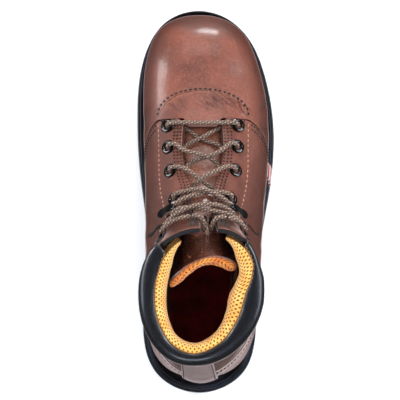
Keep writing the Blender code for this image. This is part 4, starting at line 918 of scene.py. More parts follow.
def stitches(name, lines, paint, long=2.5, gap=1.0, radius=0.36, slot="brown_leather", **links):
    """Separate thread stitches along (points, outward normals) lines, each dipping in at its ends."""
    turn = full_turn(THREAD_SIDES)
    one = tube_faces(len(THREAD_RINGS), THREAD_SIDES)
    made, faces, base = [], [], 0
    for points, normals in lines:
        run = lengths(points)
        count = int((run[-1] - gap) / (long + gap))
        centres = gap + (np.arange(count) + 0.5) * (run[-1] - gap) / count - gap / 2
        out = unit(pick(normals, run, centres))
        tangent = unit(pick(points, run, centres + 0.5) - pick(points, run, centres - 0.5))
        across = np.cross(out, tangent)
        rings = []
        for share, size, height in THREAD_RINGS:
            middle = pick(points, run, centres + share * long / 2) + out * (height * radius)
            ring = np.cos(turn)[None, :, None] * across[:, None] + np.sin(turn)[None, :, None] * out[:, None]
            rings.append(middle[:, None] + radius * size * ring)
        made.append(np.stack(rings, axis=1).reshape(-1, 3))
        for _ in range(count):
            faces += [[base + i for i in face] for face in one]
            base += len(THREAD_RINGS) * THREAD_SIDES
    piece(name, np.concatenate(made), faces, paint, crisp=180, slot=slot, **links)


def on_last(u, v, d):
    """Points on the last surface at layer d and their outward directions."""
    here = last(u, v, d)
    out = last(u, v, np.asarray(d) + 1.0) - last(u, v, np.asarray(d) - 1.0)
    return here, out / np.linalg.norm(out, axis=-1)[..., None]


def ripple(points, size, amount, seed, count=7):
    """Gentle unevenness in mm: a few sine waves in fixed random directions."""
    draw = np.random.default_rng(seed)
    directions = draw.normal(size=(count, 3))
    directions /= np.linalg.norm(directions, axis=1)[:, None]
    wave_sizes = size * draw.uniform(0.7, 1.6, count)
    starts = draw.uniform(0, 2 * math.pi, count)
    phase = points @ (directions / wave_sizes[:, None]).T * 2 * math.pi + starts
    return amount * np.sin(phase).mean(axis=-1)


def fold_lines(points, folds):
    """(depth below the surface, painted shade) of folds, each (x0, y0, x1, y1, depth, width) in plan."""
    depth, dark = np.zeros(points.shape[:-1]), np.zeros(points.shape[:-1])
    for x0, y0, x1, y1, deep, width in folds:
        start, reach = np.array([x0, y0]), np.array([x1 - x0, y1 - y0])
        off = points[..., :2] - start
        share = np.clip(off @ reach / (reach @ reach), 0, 1)
        wander = 0.9 * np.sin(share * 7 + x0)
        sideways = (off[..., 0] * reach[1] - off[..., 1] * reach[0]) / np.linalg.norm(reach) + wander
        past = np.linalg.norm(off - share[..., None] * reach, axis=-1)
        fade = np.sin(math.pi * np.clip(share, 0.02, 0.98)) ** 0.6 * (past < 4 * width)
        valley = np.exp(-((sideways / width) ** 2))
        ridge = np.exp(-(((sideways - 1.7 * width) / (1.3 * width)) ** 2))
        depth += deep * fade * (valley - 0.55 * ridge)
        dark = np.maximum(dark, fade * valley)
    return depth, dark


def turned(name, profile, around, place, paint, **links):
    """A closed ring turned from an (r, height) profile about a fitting's axis, smoothed round its corners."""
    profile = closed_curve(profile, 4 * len(profile))
    points = [place(r * math.cos(a), r * math.sin(a), h) for a in full_turn(around) for r, h in profile]
    count = len(profile)
    faces = [(k * count + j, k * count + (j + 1) % count, (k + 1) % around * count + (j + 1) % count,
              (k + 1) % around * count + j) for k in range(around) for j in range(count)]
    piece(name, np.array(points), faces, paint, crisp=60, **links)


def puff(obj, pinned, cap, pressure=4.0, frames=20, grow=0.03):
    """Cloth simulation of a closed pad under inner pressure, its result applied, then one subdivision.

    pinned marks the points that stay put, such as those along seams, and no point moves over cap mm.
    """
    mesh = obj.data
    rest = np.empty(len(mesh.vertices) * 3)
    mesh.vertices.foreach_get("co", rest)
    rest = rest.reshape(-1, 3)
    group = obj.vertex_groups.new(name="pins")
    group.add(np.flatnonzero(pinned).tolist(), 1.0, "REPLACE")
    modifier = obj.modifiers.new("cloth", "CLOTH")
    settings = modifier.settings
    settings.quality = 4
    settings.mass = 0.2
    settings.tension_stiffness = settings.compression_stiffness = 12
    settings.bending_stiffness = 0.4
    settings.vertex_group_mass = "pins"
    settings.use_pressure = True
    settings.uniform_pressure_force = pressure
    settings.shrink_min = -grow
    settings.effector_weights.gravity = 0
    modifier.collision_settings.use_collision = False
    modifier.point_cache.frame_end = frames
    scene = bpy.context.scene
    for number in range(1, frames + 1):
        scene.frame_set(number)
    shown = obj.evaluated_get(bpy.context.evaluated_depsgraph_get())
    moved = np.empty(len(shown.data.vertices) * 3)
    shown.data.vertices.foreach_get("co", moved)
    shift = moved.reshape(-1, 3) - rest
    size = np.linalg.norm(shift, axis=1)[:, None]
    shift *= np.minimum(1, cap * MM / np.maximum(size, 1e-9))
    obj.modifiers.remove(modifier)
    scene.frame_set(1)
    mesh.vertices.foreach_set("co", (rest + shift).ravel())
    obj.vertex_groups.clear()
    mesh.update()
    smooth = obj.modifiers.new("smooth", "SUBSURF")
    smooth.levels = smooth.render_levels = 1
    bpy.context.view_layer.update()
    finer = bpy.data.meshes.new_from_object(obj.evaluated_get(bpy.context.evaluated_depsgraph_get()))
    obj.modifiers.clear()
    obj.data = finer
    finer.name = obj.name
    finer.shade_smooth()


# ---------------------------------------------------------------- the boot's materials
LEATHER_DARK, LEATHER_MIDDLE, LEATHER_LIGHT = srgb(60, 27, 18), srgb(122, 63, 45), srgb(168, 110, 86)
# round the heel the leather turns greyer: partly its own tone, partly a painted pale reflection
leather = leather_paint("boot_leather", LEATHER_DARK, LEATHER_MIDDLE, LEATHER_LIGHT, heel=srgb(148, 126, 120))
TOE_DARK, TOE_MIDDLE, TOE_LIGHT = srgb(62, 27, 19), srgb(130, 68, 50), srgb(182, 122, 100)
toe_paint = leather_paint("toe_leather", TOE_DARK, TOE_MIDDLE, TOE_LIGHT)
# the tongue's dark tone also colours its painted shade beside the lace stays
TONGUE_DARK, TONGUE_MIDDLE, TONGUE_LIGHT = srgb(44, 18, 13), srgb(160, 100, 80), srgb(198, 142, 120)
tongue_paint = leather_paint("tongue_leather_glossy", TONGUE_DARK, TONGUE_MIDDLE, TONGUE_LIGHT, gloss=0.26,
                             grain=0.8, coat=0.5, relief=0.35)
# pale grey heel leather: partly its own tone, partly a painted pale reflection
heel_paint = leather_paint("heel_leather_painted_reflection", srgb(124, 104, 100), srgb(174, 153, 148), srgb(212, 196, 190))
BLACK_DARK, BLACK_MIDDLE, BLACK_LIGHT = srgb(5, 6, 10), srgb(14, 15, 22), srgb(44, 48, 62)
collar_paint = leather_paint("black_collar_leather", BLACK_DARK, BLACK_MIDDLE, BLACK_LIGHT, gloss=0.34,
                             grain=0.8, coat=0.5, relief=0.5)
# painted shade: the lace stays' cut edges drawn near black for the shade along their rims
stay_rim_shade_paint = cut_edge_paint("painted_shade_stay_rim", srgb(7, 7, 9), srgb(30, 28, 32))
dark_edge = cut_edge_paint("inked_leather_edge", srgb(40, 24, 20), srgb(74, 48, 40))
orange_mesh = mesh_paint("orange_spacer_mesh", srgb(255, 212, 122), srgb(250, 176, 82), srgb(140, 74, 20))
tongue_mesh = mesh_paint("orange_tongue_mesh", srgb(254, 178, 84), srgb(230, 126, 48), srgb(140, 62, 16))
lining = textile_paint("dark_red_lining", srgb(58, 8, 8), srgb(98, 14, 13))
footbed_paint = textile_paint("footbed_fabric", srgb(70, 10, 9), srgb(112, 18, 16), 1.2)
midsole_paint = rubber_paint("midsole_polyurethane", srgb(6, 9, 16), srgb(18, 24, 38), 0.42)
outsole_paint = rubber_paint("outsole_rubber", srgb(10, 12, 18), srgb(28, 31, 42), 0.45, 0.8, 0.14)
eyelet_paint = metal_paint("black_enamel", srgb(5, 5, 7), srgb(26, 25, 27), 0.1, 0.6, 1.0)
steel = metal_paint("steel", srgb(150, 152, 158), srgb(96, 92, 90), 0.3)
lace_paint = cord_paint("braided_lace", srgb(13, 8, 7), srgb(42, 26, 22), srgb(200, 168, 148), 8, 8.4)
aglet_paint = rubber_paint("lace_tip_plastic", srgb(26, 16, 14), srgb(48, 34, 30), 0.2, 1.5, 0.03)
dark_thread = thread_paint("dark_thread", srgb(24, 11, 9), srgb(8, 4, 3))
pale_thread = thread_paint("pale_thread", srgb(198, 156, 130), srgb(120, 80, 62))
grey_thread = thread_paint("grey_thread", srgb(96, 94, 98), srgb(50, 48, 54))
cream_thread = thread_paint("cream_thread", srgb(206, 152, 84), srgb(120, 76, 34))
fibre_board = board_paint("fibre_board", srgb(120, 88, 56), srgb(176, 142, 100))
strip_foam = foam_paint("strip_foam", srgb(120, 112, 98), srgb(190, 182, 164))
tab_fabric = tab_paint("tab_fabric", srgb(24, 16, 20), srgb(226, 222, 218), srgb(176, 12, 26))


# ---------------------------------------------------------------- the sole unit
def dense_loop(inset, height):
    """A loop of points round the sole, moved in by inset, at a height; either may be a function of y."""
    moved = inset_outline(inset)
    z = height(moved[:, 1]) if callable(height) else np.full(len(OUTLINE), float(height))
    return np.column_stack([moved, z])[::2]


def ring_stack(loops):
    """Points and faces of a closed solid through loops from the top inner one round to the bottom one."""
    around = len(loops[0])
    faces = quads(len(loops), around, wrap=True).tolist()
    for start in (0, (len(loops) - 1) * around):
        for j in range(around // 2):
            strip = [j, j + 1, (around - j - 1) % around, (around - j) % around]
            strip = list(dict.fromkeys(strip))
            if len(strip) >= 3:
                faces.append(tuple(start + k for k in strip))
    return np.concatenate(loops), faces


LIP_GROOVE, LIP_ROUND = 0.7, 1.2  # depth of the groove along the lip, and the height of its rounding
SOLE_WALL = [  # (share of the way down the midsole's side, extra inset)
    (0.05, 0.0), (0.12, -0.15), (0.15, 0.0), (0.165, 0.75), (0.19, 0.8), (0.21, 0.1), (0.27, -0.1),
    (0.5, 0.0), (0.62, -0.05), (0.645, 0.65), (0.67, 0.7), (0.69, 0.0), (0.78, -0.25), (0.9, 0.0),
    (0.97, 0.35), (1.0, 0.9),
]  # fmt: skip


def make_midsole():
    """Polyurethane midsole: rounded lip round the upper, grooved sidewall, flat bed inside."""
    inner = lambda y: inset_at(y) - cup_gap(y)  # noqa: E731
    top = lambda y: feather_height(y) + LIP  # noqa: E731
    loops = [dense_loop(inner, floor_height), dense_loop(inner, lambda y: top(y) - 1.4)]
    for turn in np.linspace(0, math.pi, 21):  # the lip's rounded top, with a groove where it is widest
        share = (1 - math.cos(turn)) / 2
        groove = LIP_GROOVE * math.exp(-(((share - 0.6) / 0.07) ** 2))
        wide = lambda y, s=share: inner(y) * (1 - s) + (lip_flare(y) + 0.5) * s  # noqa: E731
        rounded = lambda y, r=math.sin(turn), g=groove: top(y) - LIP_ROUND + LIP_ROUND * r - g  # noqa: E731
        loops.append(dense_loop(wide, rounded))
    for share, extra in SOLE_WALL:
        lean = lambda y, s=share, e=extra: lip_flare(y) * (1 - s) + 0.5 * (1 - s) + 0.5 * s + e  # noqa: E731
        fall = lambda y, s=share: (top(y) - LIP_ROUND) * (1 - s) + sole_split(y) * s  # noqa: E731
        loops.append(dense_loop(lean, fall))
    points, faces = ring_stack(loops)
    piece("midsole_body", points, faces, midsole_paint, crisp=60, stands_for="midsole")


LUG_CUT = 1.6  # how much of a lug's corners is cut off
LUG_RINGS = ((-0.5, 1.12), (0.0, 0.45), (0.25, 0.16), (1.0, 0.0))  # (inset, share up to the root)


def lug_solid(x0, x1, y0, y1, lean, rim):
    """Bevelled chevron lug: rings of eight points from its root to its chamfered ground face."""
    points = []
    for inset, share in LUG_RINGS:
        left, right, half = x0 + inset, x1 - inset, lean * 0.5
        plan = [
            (left, y0 + half + inset + LUG_CUT), (left + LUG_CUT, y0 + half + inset),
            (right - LUG_CUT, y0 - half + inset), (right, y0 - half + inset + LUG_CUT),
            (right, y1 - half - inset - LUG_CUT), (right - LUG_CUT, y1 - half - inset),
            (left + LUG_CUT, y1 + half - inset), (left, y1 + half - inset - LUG_CUT),
        ]  # fmt: skip
        edge = 0.0 if 0 < share < 1 else 0.4
        for x, y in plan:
            low, high = sides(rim, np.array([np.clip(y, rim[:, 1].min() + 1, rim[:, 1].max() - 1)]))
            x = float(np.clip(x, low[0] + edge, high[0] - edge))
            points.append((x, y, float(ground(y)) + share * (float(tread_root(y)) - float(ground(y)))))
    return np.array(points), tube_faces(len(LUG_RINGS), 8)


def make_outsole():
    """Rubber outsole: bevelled edge, waisted sidewall and separate chevron lugs."""
    split = lambda y: sole_split(y) - GAP  # noqa: E731
    low = lambda y: np.maximum(tread_root(y) + 1.5, ground(y) + 4)  # noqa: E731
    loops = [dense_loop(1.4, split), dense_loop(0.5, lambda y: split(y) - 0.35),
             dense_loop(0.2, lambda y: split(y) - 1.2)]
    for share, extra in ((0.3, 0.0), (0.42, 0.5), (0.55, 0.5), (0.68, 0.0)):
        loops.append(dense_loop(0.1 + extra, lambda y, s=share: (split(y) - 1.2) * (1 - s) + low(y) * s))
    loops += [dense_loop(0.0, low), dense_loop(0.7, lambda y: tread_root(y) + 0.5)]
    loops.append(dense_loop(1.8, tread_root))
    body, faces = ring_stack(loops)
    points, base, rim = [body], len(body), inset_outline(2.4)
    for box in lug_boxes():
        lug, lug_faces = lug_solid(*box, rim)
        points.append(lug)
        faces += [tuple(base + k for k in face) for face in lug_faces]
        base += len(lug)
    piece("outsole_body", np.concatenate(points), faces, outsole_paint, crisp=35, stands_for="outsole")


def make_footbed():
    """Removable footbed: cupped heel, arch rise and soft rounded rim."""
    under = lambda y: board_height(y) + GAP  # noqa: E731
    rise = spline([-44, 0, 60, 110, 150, 266], [9, 8, 7, 5, 4, 4])
    edge = lambda y: inset_at(y) + 10.3 + 1.6 * step(-y, -25, 10)  # noqa: E731
    rows = [(9.7, 3.6), (5.2, 3.7), (2.7, 4.0)]
    loops = [dense_loop(lambda y, m=m: edge(y) + m, lambda y, h=h: under(y) + h) for m, h in rows]
    for share in (0.35, 0.75, 0.95, 1.0):
        loops.append(dense_loop(lambda y, s=share: edge(y) + 2.3 - 1.7 * s,
                                lambda y, s=share: under(y) + 4.2 + (rise(y) - 4.2) * s))
    loops.append(dense_loop(lambda y: edge(y) + 0.1, lambda y: under(y) + rise(y) - 0.7))
    loops.append(dense_loop(edge, lambda y: under(y) + 0.5))
    loops.append(dense_loop(lambda y: edge(y) + 0.5, under))
    points, faces = ring_stack(loops)
    piece("footbed_body", points, faces, footbed_paint, body="footbed", crisp=60, stands_for="footbed")


# ---------------------------------------------------------------- the upper
FOLD_DEPTHS, FOLD_WIDTHS = (0.5, 0.85, 0.62), (0.62, 0.8, 0.55)
PLUG_FOLDS = [  # fine diagonal flex wrinkles on the outer half of the plug, in plan
    (-2 + 2.7 * k, 190.5 - 0.11 * (k - 6) ** 2, 7.5 + 2.7 * k + (k * 5) % 4,
     175.5 + (k * 7) % 5 - 2 * (k > 9), FOLD_DEPTHS[k % 3], FOLD_WIDTHS[k % 3])
    for k in range(12)
]  # fmt: skip
PLUG_FOLDS += [(-26, 184, -13, 174.5, 0.18, 0.7), (-19, 187, -8, 176, 0.16, 0.6)]
SIDE_FOLDS = [  # soft folds where the forefoot bends
    (-47, 164, -40, 182, 0.35, 1.8), (46, 176, 54, 190, 0.4, 1.8), (44, 160, 56, 168, 0.35, 1.9),
    (-46, 140, -38, 152, 0.3, 1.8), (47, 118, 53, 98, 0.5, 2.2), (43, 92, 50, 70, 0.45, 2.2),
    (-43, 100, -40, 78, 0.4, 2.0), (-44, 78, -41, 58, 0.35, 2.0),
]  # fmt: skip


def vamp_height(points):
    fold, _ = fold_lines(points, PLUG_FOLDS + SIDE_FOLDS)
    return ripple(points, 46, 0.5, 11) + ripple(points, 15, 0.12, 12) - fold


def quarter_height(points):
    fold, _ = fold_lines(points, SIDE_FOLDS)
    return ripple(points, 40, 0.6, 13) + ripple(points, 14, 0.16, 14) - fold


# painted shade: darkness drawn into the folds' valleys
def fold_painted_shade(points):
    return 0.8 * fold_lines(points, PLUG_FOLDS + SIDE_FOLDS)[1]


def arc_curve(count, t_apex, t_ends, half):
    """(q, g) of the plug's curved front edge, an ellipse from one corner to the other."""
    turn = np.linspace(-math.pi / 2, math.pi / 2, count)
    g = half * np.sin(turn)
    t = t_ends + (t_apex - t_ends) * np.cos(turn)
    return q_at(t), g


def seam_curve(side, share, first_g, first_t):
    """(u, v) of the vamp's seam from the throat's corner down to the sole, on one side."""
    start_u, start_v = uv_at(q_at(first_t), side * first_g)
    end_u = u_of_foot(SEAM_FOOT_Y)
    return start_u + (end_u - start_u) * share**1.3, start_v + (side - start_v) * share


def cover_depth(g):
    """Depth of the collar's black cover below the top edge, g from the top centre."""
    return 7 * step(np.abs(g), COVER_G - 3, COVER_G + 2) + (COLLAR_DEPTH - 7) * step(np.abs(g), COVER_G, 80)


def pad_depth(g):
    """Depth of the padding and its mesh below the top edge, g from the top centre."""
    return 10 + (COLLAR_DEPTH - 10) * step(np.abs(g), PAD_G + 2, 76)


def top_girth(side):
    return GIRTH[-1, 0 if side < 0 else 1]


def lacing_edge(side, t):
    """How far a facing's edge is from the lacing's middle, at y = t on one side."""
    return facing_edge(t) + side * FACING_SHIFT * step(t, 100, 83)


def below_collar(v, extra):
    """The ring just under the collar's cover at each v of a 1-D array."""
    coarse = np.linspace(v.min(), v.max(), 40)
    g = np.abs(coarse) * np.where(coarse < 0, top_girth(-1), top_girth(1))
    return np.interp(v, coarse, depth_to_u(coarse, cover_depth(g) + extra))


SEAM_GAP = 0.06  # neighbouring leather edges touch but for this


def make_vamp():
    arc_q, arc_g = arc_curve(110, PLUG_APEX, THROAT + 1.0, PLUG_HALF)
    arc_u, arc_v = uv_at(arc_q, arc_g)
    share = np.linspace(0, 1, 34)
    inner_u, inner_v = seam_curve(-1, share, PLUG_HALF + GAP, THROAT + 0.6)
    outer_u, outer_v = seam_curve(1, share, PLUG_HALF + GAP, THROAT + 0.6)
    rear_u = np.concatenate([inner_u[::-1], arc_u[1:-1], outer_u])
    rear_v = np.concatenate([inner_v[::-1], arc_v[1:-1], outer_v])
    rows = graded(90, 1.25, first=False)[:, None]
    u = rear_u[None] * rows
    sheet("vamp_leather", u, rear_v[None] + 0 * rows, 0.0, -LEATHER, [toe_paint, dark_edge],
          rounding=(0, 0.5, 0, 0), shape=vamp_height, painted_shade=fold_painted_shade, weld=True,
          stands_for="vamp")


def make_plug():
    front_q, front_g = arc_curve(90, PLUG_APEX - SEAM_GAP, THROAT + 0.7, PLUG_HALF - SEAM_GAP)
    tail = THROAT + 0.4 - 7.0 * (1 - step(np.abs(front_g), 11, 15))
    share = graded(26, 1.0, last_end=False)[:, None]
    q = front_q[None] * (1 - share) + q_at(tail)[None] * share
    u, v = uv_at(q, front_g[None] + 0 * share)
    sheet("plug_leather", u, v, -0.1, -LEATHER, [toe_paint, dark_edge], rounding=(0.5, 0, 0, 0),
          shape=vamp_height, painted_shade=fold_painted_shade, stands_for="vamp_plug")


def make_quarter(side, word):
    """Side panel from the vamp seam back to the heel's back seam, up to the collar."""
    across, rows = graded(150, 1.6, last_end=False), graded(110, 1.6)
    share = 1 - (1 - across) ** 1.3
    seam_u, _ = seam_curve(side, share, PLUG_HALF + SEAM_GAP, THROAT + 0.2)
    seam_u = seam_u + 0.0004
    edge_v = uv_at(RING_Q[-1], side * (PLUG_HALF + SEAM_GAP))[1]
    limit = side * (1 - GAP / 300)
    top_u = below_collar(edge_v + (limit - edge_v) * share, 0.6)
    f = rows[:, None]
    u = seam_u * (1 - f) + top_u * f
    line = side * np.interp(u, U, np.abs(uv_at(RING_Q, side * (PLUG_HALF + SEAM_GAP))[1]))
    v = line + (limit - line) * share
    sheet(f"quarter_leather_{word}", u, v, 0.0, -LEATHER, [leather, dark_edge], rounding=(0.9, 0.6, 0, 0),
          shape=quarter_height, painted_shade=fold_painted_shade, stands_for=f"quarter_{word}")


STAY_TAPER = 15.0  # the lace stay's reinforcement thins out over this width, towards the quarter


def stay_layer(q, g):
    """Outer layer of a lace stay: full beside the lacing, level with the quarter at its outer edge."""
    taper = STAY_TAPER * step(t_at(q), 76, 100)
    return THINNEST + (OVERLAY - THINNEST) * (1 - step(np.abs(g), PLUG_HALF - taper, PLUG_HALF))


def make_stay(side, word):
    q_rows = q_at(THROAT) + (RING_Q[-1] - q_at(THROAT)) * graded(110, 1.3)
    edge = lacing_edge(side, t_at(q_rows))
    share = graded(22, 1.3, last_end=False)
    g = edge[:, None] + (PLUG_HALF - edge[:, None]) * share
    round_off = 5.0 * np.clip(1 - (q_rows - q_rows[0]) / 6.0, 0, 1)[:, None] ** 2
    g = g + round_off * np.clip(0.3 - share, 0, 1) / 0.3
    q = np.repeat(q_rows[:, None], len(share), axis=1)
    corner_v = np.array([uv_at(q[-1, -1], side * g[-1, -1])[1], uv_at(q[-1, 0], side * g[-1, 0])[1]])
    top_u = below_collar(np.sort(corner_v), 0.8)
    lowest = np.interp(top_u.min(), U, RING_Q)
    fall = step(g, COVER_G - 4, PLUG_HALF) * (RING_Q[-1] - lowest)
    q = np.minimum(q, RING_Q[-1] - fall)
    u, v = uv_at(q, side * g)
    layer = stay_layer(q, g)
    lift = lambda points: ripple(points, 22, 0.35, 15) - fold_lines(points, SIDE_FOLDS)[0]  # noqa: E731
    # the stay's cut edges take the near-black painted shade
    sheet(f"lace_stay_{word}", u, v, layer, -LEATHER, [leather, stay_rim_shade_paint], rounding=(1.2, 0.5, 1.4, 0),
          shape=lift, stands_for=f"eyestay_{word}")


def lining_face(u, v):
    """Layer of the lining's outer face: shallow beside the lacing, deep inside the heel counter."""
    side = LINING_FACE + (LINING_LOW - LINING_FACE) * step(np.abs(v), 0.42, 0.6)
    rear = step(u, 0.31, 0.37) * step(np.abs(v), 0.32, 0.52) * (1 - step(u, 0.86, 0.93))
    return side + (LINING_DEEP - side) * rear


def make_quarter_lining(side, word):
    across, rows = np.linspace(0, 1, 60), np.linspace(0, 1, 60)
    limit = 1 - GAP / 250
    share = 1 - (1 - across) ** 1.15
    front_u = float(uv_at(q_at(THROAT - 2), 0)[0])
    edge_top = (facing_edge(82.0) + side * FACING_SHIFT) / top_girth(side)
    top_v = side * (edge_top + (limit - edge_top) * share)
    top_g = np.abs(top_v) * top_girth(side)
    top_u = depth_to_u(top_v, 0.8 + 1.5 * pad_depth(top_g) * step(top_g, PAD_G - 14, PAD_G - 7))
    u = front_u + (top_u[None] - front_u) * rows[:, None]
    q = np.interp(u, U, RING_Q)
    start = np.abs(uv_at(q, side * lacing_edge(side, t_at(q)))[1])
    v = side * (start + (limit - start) * share)
    outer = lining_face(u, v)
    sheet(f"quarter_lining_cloth_{word}", u, v, outer, outer - LINING_THICK, lining,
          stands_for=f"quarter_lining_{word}")


def heel_wrap(front_y, top_u, turn, rows, raised):
    """(u, v) grid of a panel wrapped round the heel, from just above the sole up to a curved edge."""
    climb = np.sin(turn * math.pi / 2)
    start = float(u_of_foot(front_y))
    foot_u = start + (HEEL_U + 0.25 * raised - start) * climb
    foot_v = 1 - raised * np.sqrt(np.maximum(np.cos(turn * math.pi / 2), 0))
    edge_u = start + (top_u - start) * climb
    edge_v = foot_v - 0.30 * np.sin(turn * math.pi) ** 0.9
    foot_v[-1] = edge_v[-1] = 1.0
    share = rows[:, None]
    u = foot_u * (1 - share) + edge_u * share
    v = foot_v * (1 - share) + edge_v * share
    return np.concatenate([u, u[:, -2::-1]], axis=1), np.concatenate([-v, v[:, -2::-1]], axis=1)


COUNTER_FRONT_Y, COUNTER_TOP_U, COUNTER_RAISED = 26.0, 0.785, 0.1


def counter_grid(turn, rows):
    u, v = heel_wrap(COUNTER_FRONT_Y, COUNTER_TOP_U, turn, rows, COUNTER_RAISED)
    return u, v, 0.15 + 0.5 * (1 - rows[:, None]) ** 1.5


def make_counter_cover():
    u, v, low = counter_grid(np.linspace(0, 1, 80) ** 0.9, graded(50, 1.3))
    sheet("heel_counter_leather", u, v, low + 1.2, low, [heel_paint, dark_edge], rounding=(0.9, 1, 0.9, 0.9),
          shape=lambda points: ripple(points, 30, 0.25, 17), stands_for="heel_counter_cover")


def backstay_grid(u_rows, columns):
    """(u, v, layer) of the strip over the back seam; columns are shares from its middle, -1 to 1."""
    back_u = float(depth_to_u(np.array([1.0]), np.array([COLLAR_DEPTH + 0.4]))[0])
    u = (HEEL_U + 0.026 + (back_u - HEEL_U - 0.026) * u_rows)[:, None] + 0 * columns[None]
    width = np.interp(u, [HEEL_U, back_u], [15.0, 12.0])
    girth = np.where(columns < 0, np.interp(u, U, GIRTH[:, 0]), np.interp(u, U, GIRTH[:, 1]))
    side = np.where(columns <= 0, -1.0, 1.0)
    v = side * (1 - width * np.abs(columns) / girth)
    low = 0.15 + 1.35 * (1 - step(u, 0.79, 0.83)) + 0.5 * (1 - step(u, 0.61, 0.72))
    return u, v, low


def make_backstay():
    half = graded(14, 1.2, first=False)
    columns = np.concatenate([-half[::-1], half[1:]])
    u, v, low = backstay_grid(graded(70, 1.3), columns)
    sheet("backstay_leather", u, v, low + 1.4, low, [heel_paint, dark_edge], rounding=(0.9, 0.6, 1.0, 1.0),
          shape=lambda points: ripple(points, 25, 0.2, 18), stands_for="backstay")


def make_vamp_lining():
    """Textile lining of the forefoot, deeper where it passes under the steel cap."""
    columns = np.linspace(-1, 1, 70)[None]
    rows = np.linspace(0, 1, 40)[:, None]
    end_u = float(uv_at(q_at(THROAT + 2), 0)[0])
    start = float(np.interp(q_at(TOE_CAP_REAR), RING_Q, U))
    u = end_u * rows**1.1 + 0 * columns
    outer = LINING_DEEP + (LINING_LOW - LINING_DEEP) * step(u, start + 0.012, start + 0.05)
    sheet("vamp_lining_cloth", u, columns + 0 * rows, outer, outer - LINING_THICK, lining, weld=True,
          stands_for="vamp_lining")


TAB_FLARE = 2.6  # how far the side tab's lower end stands away from the leather


def make_side_tab():
    """Small folded fabric tab caught in the outer seam, plain bands and no lettering."""
    u0 = float(u_of_foot(SEAM_FOOT_Y)) - 0.012
    u = u0 - 0.020 * (1 - graded(14, 1.0))[:, None]
    v = np.linspace(0.66, 0.84, 16)[None]
    flare = TAB_FLARE * np.linspace(0, 1, 16)[None] ** 1.3
    sheet("side_tab_fabric", u, v, 1.5 + flare, GAP + flare, tab_fabric, rounding=(0.5, 0, 0.4, 0.4),
          mesh_uv=True, stands_for="side_tab")


# ---------------------------------------------------------------- stitching
OUTER_ROW = ([86.0, 95, 106, 115, 125, 150, 169], [34.0, 32.6, 33, 35, 37, 37, 36.9])  # the pale row's g


def stitch_stay(side, word):
    """Three rows along the lacing edge and two along the throat."""
    rows = []
    for inset in (1.4, 4.0, 6.6):
        q = np.linspace(float(q_at(THROAT)) + 4, RING_Q[-1] - 6, 160)
        g = lacing_edge(side, t_at(q)) + inset
        rows.append(on_last(*uv_at(q, side * g), stay_layer(q, g)))
    for inset, start in ((1.5, 20.0), (4.2, 21.5)):
        g = np.linspace(start, 35.2, 40)
        q = np.full(40, float(q_at(THROAT)) + inset)
        rows.append(on_last(*uv_at(q, side * g), stay_layer(q, g)))
    stitches(f"stay_stitches_{word}", rows, dark_thread, long=1.5, gap=1.3, radius=0.78)


def stitch_upper():
    """Rows of stitches on the leather, one object per seam."""
    u, v = uv_at(*arc_curve(120, PLUG_APEX + 1.5, THROAT + 2.5, PLUG_HALF + 1.3))
    lift = vamp_height(last(u, v, 0.0))
    stitches("plug_stitches", [on_last(u, v, lift - 0.02)], dark_thread, long=2.6, gap=1.2, radius=0.75)
    for side, word in SIDES:
        stitch_stay(side, word)
        fine = np.linspace(169, 87, 120)
        q, g = q_at(fine), spline(*OUTER_ROW)(fine)
        u, v = uv_at(q, side * g)
        on_quarter = g > PLUG_HALF
        layer = np.where(on_quarter, 0.0, stay_layer(q, g)) + quarter_height(last(u, v, 0.0)) * on_quarter
        stitches(f"outer_stitches_{word}", [on_last(u, v, layer)], pale_thread, long=2.6, gap=1.5,
                 radius=0.44)
        rows = []
        for inset in (0.0055, 0.0135):  # along the vamp seam, on the quarter
            u, v = seam_curve(side, np.linspace(0.02, 0.86, 150), PLUG_HALF + 1, THROAT)
            u = u + inset * 0.9
            rows.append(on_last(u, v, quarter_height(last(u, v, 0.0))))
        stitches(f"vamp_seam_stitches_{word}", rows, dark_thread, long=1.5, gap=1.3, radius=0.78)
    rows = []
    for inset in (1.4, 3.9):
        u, v, low = counter_grid(np.linspace(0.05, 0.995, 120), np.array([0.0, 1.0 - inset / 40]))
        rows.append(on_last(u[1], v[1], low[1] + 1.2))
    stitches("counter_stitches", rows, dark_thread, long=2.1, gap=1.3, radius=0.3)
    rows = []
    for column in (-0.87, 0.87):
        u, v, low = backstay_grid(np.linspace(0.03, 0.97, 80), np.array([column]))
        rows.append(on_last(u[:, 0], v[:, 0], low[:, 0] + 1.4))
    stitches("backstay_stitches", rows, dark_thread, long=2.1, gap=1.3, radius=0.42)


# ---------------------------------------------------------------- the padded collar
COLLAR_SKIN = [(0.4, 1.0), (1.5, 0.86), (2.0, 0.6), (1.7, 0.3), (-0.1, 0.06), (-3.8, -0.05), (-8.6, -0.08)]
COLLAR_MESH = [(-8.9, -0.08), (-13.0, -0.04), (-16.2, 0.12), (-17.3, 0.38), (-15.3, 0.8), (-10.2, 1.15),
               (-5.2, 1.42)]  # fmt: skip


COVER_SWELL = {  # how far the black band reaches in over the top edge, against g, inner then outer side
    -1: ([20, 50, 105, 125, 141], [0.42, 1.0, 0.95, 0.72, 0.56]),
    1: ([20, 50, 60, 70, 80, 100, 120, 147], [0.3, 0.34, 0.7, 1.15, 1.3, 1.15, 0.8, 0.56]),
}
MESH_SWELL = {
    -1: ([16, 24, 38, 90, 115, 141], [0.15, 0.34, 0.76, 0.7, 0.64, 0.8]),
    1: ([16, 24, 36, 60, 80, 100, 147], [0.15, 0.4, 0.95, 1.1, 1.0, 0.88, 0.78]),
}
BAND_EDGE = -8.6  # where the black skin meets the mesh, in mm in from the leather


def collar_places(first_g, pitch):
    """v of each section along the collar, from the inner front end round the back."""
    out = []
    for side in (-1, 1):
        girth = top_girth(side)
        count = int((girth - first_g) / pitch)
        out.append(side * (first_g + (girth - first_g) * np.linspace(0, 1, count + 1) ** 0.95) / girth)
    return np.concatenate([out[0], out[1][-2::-1]])


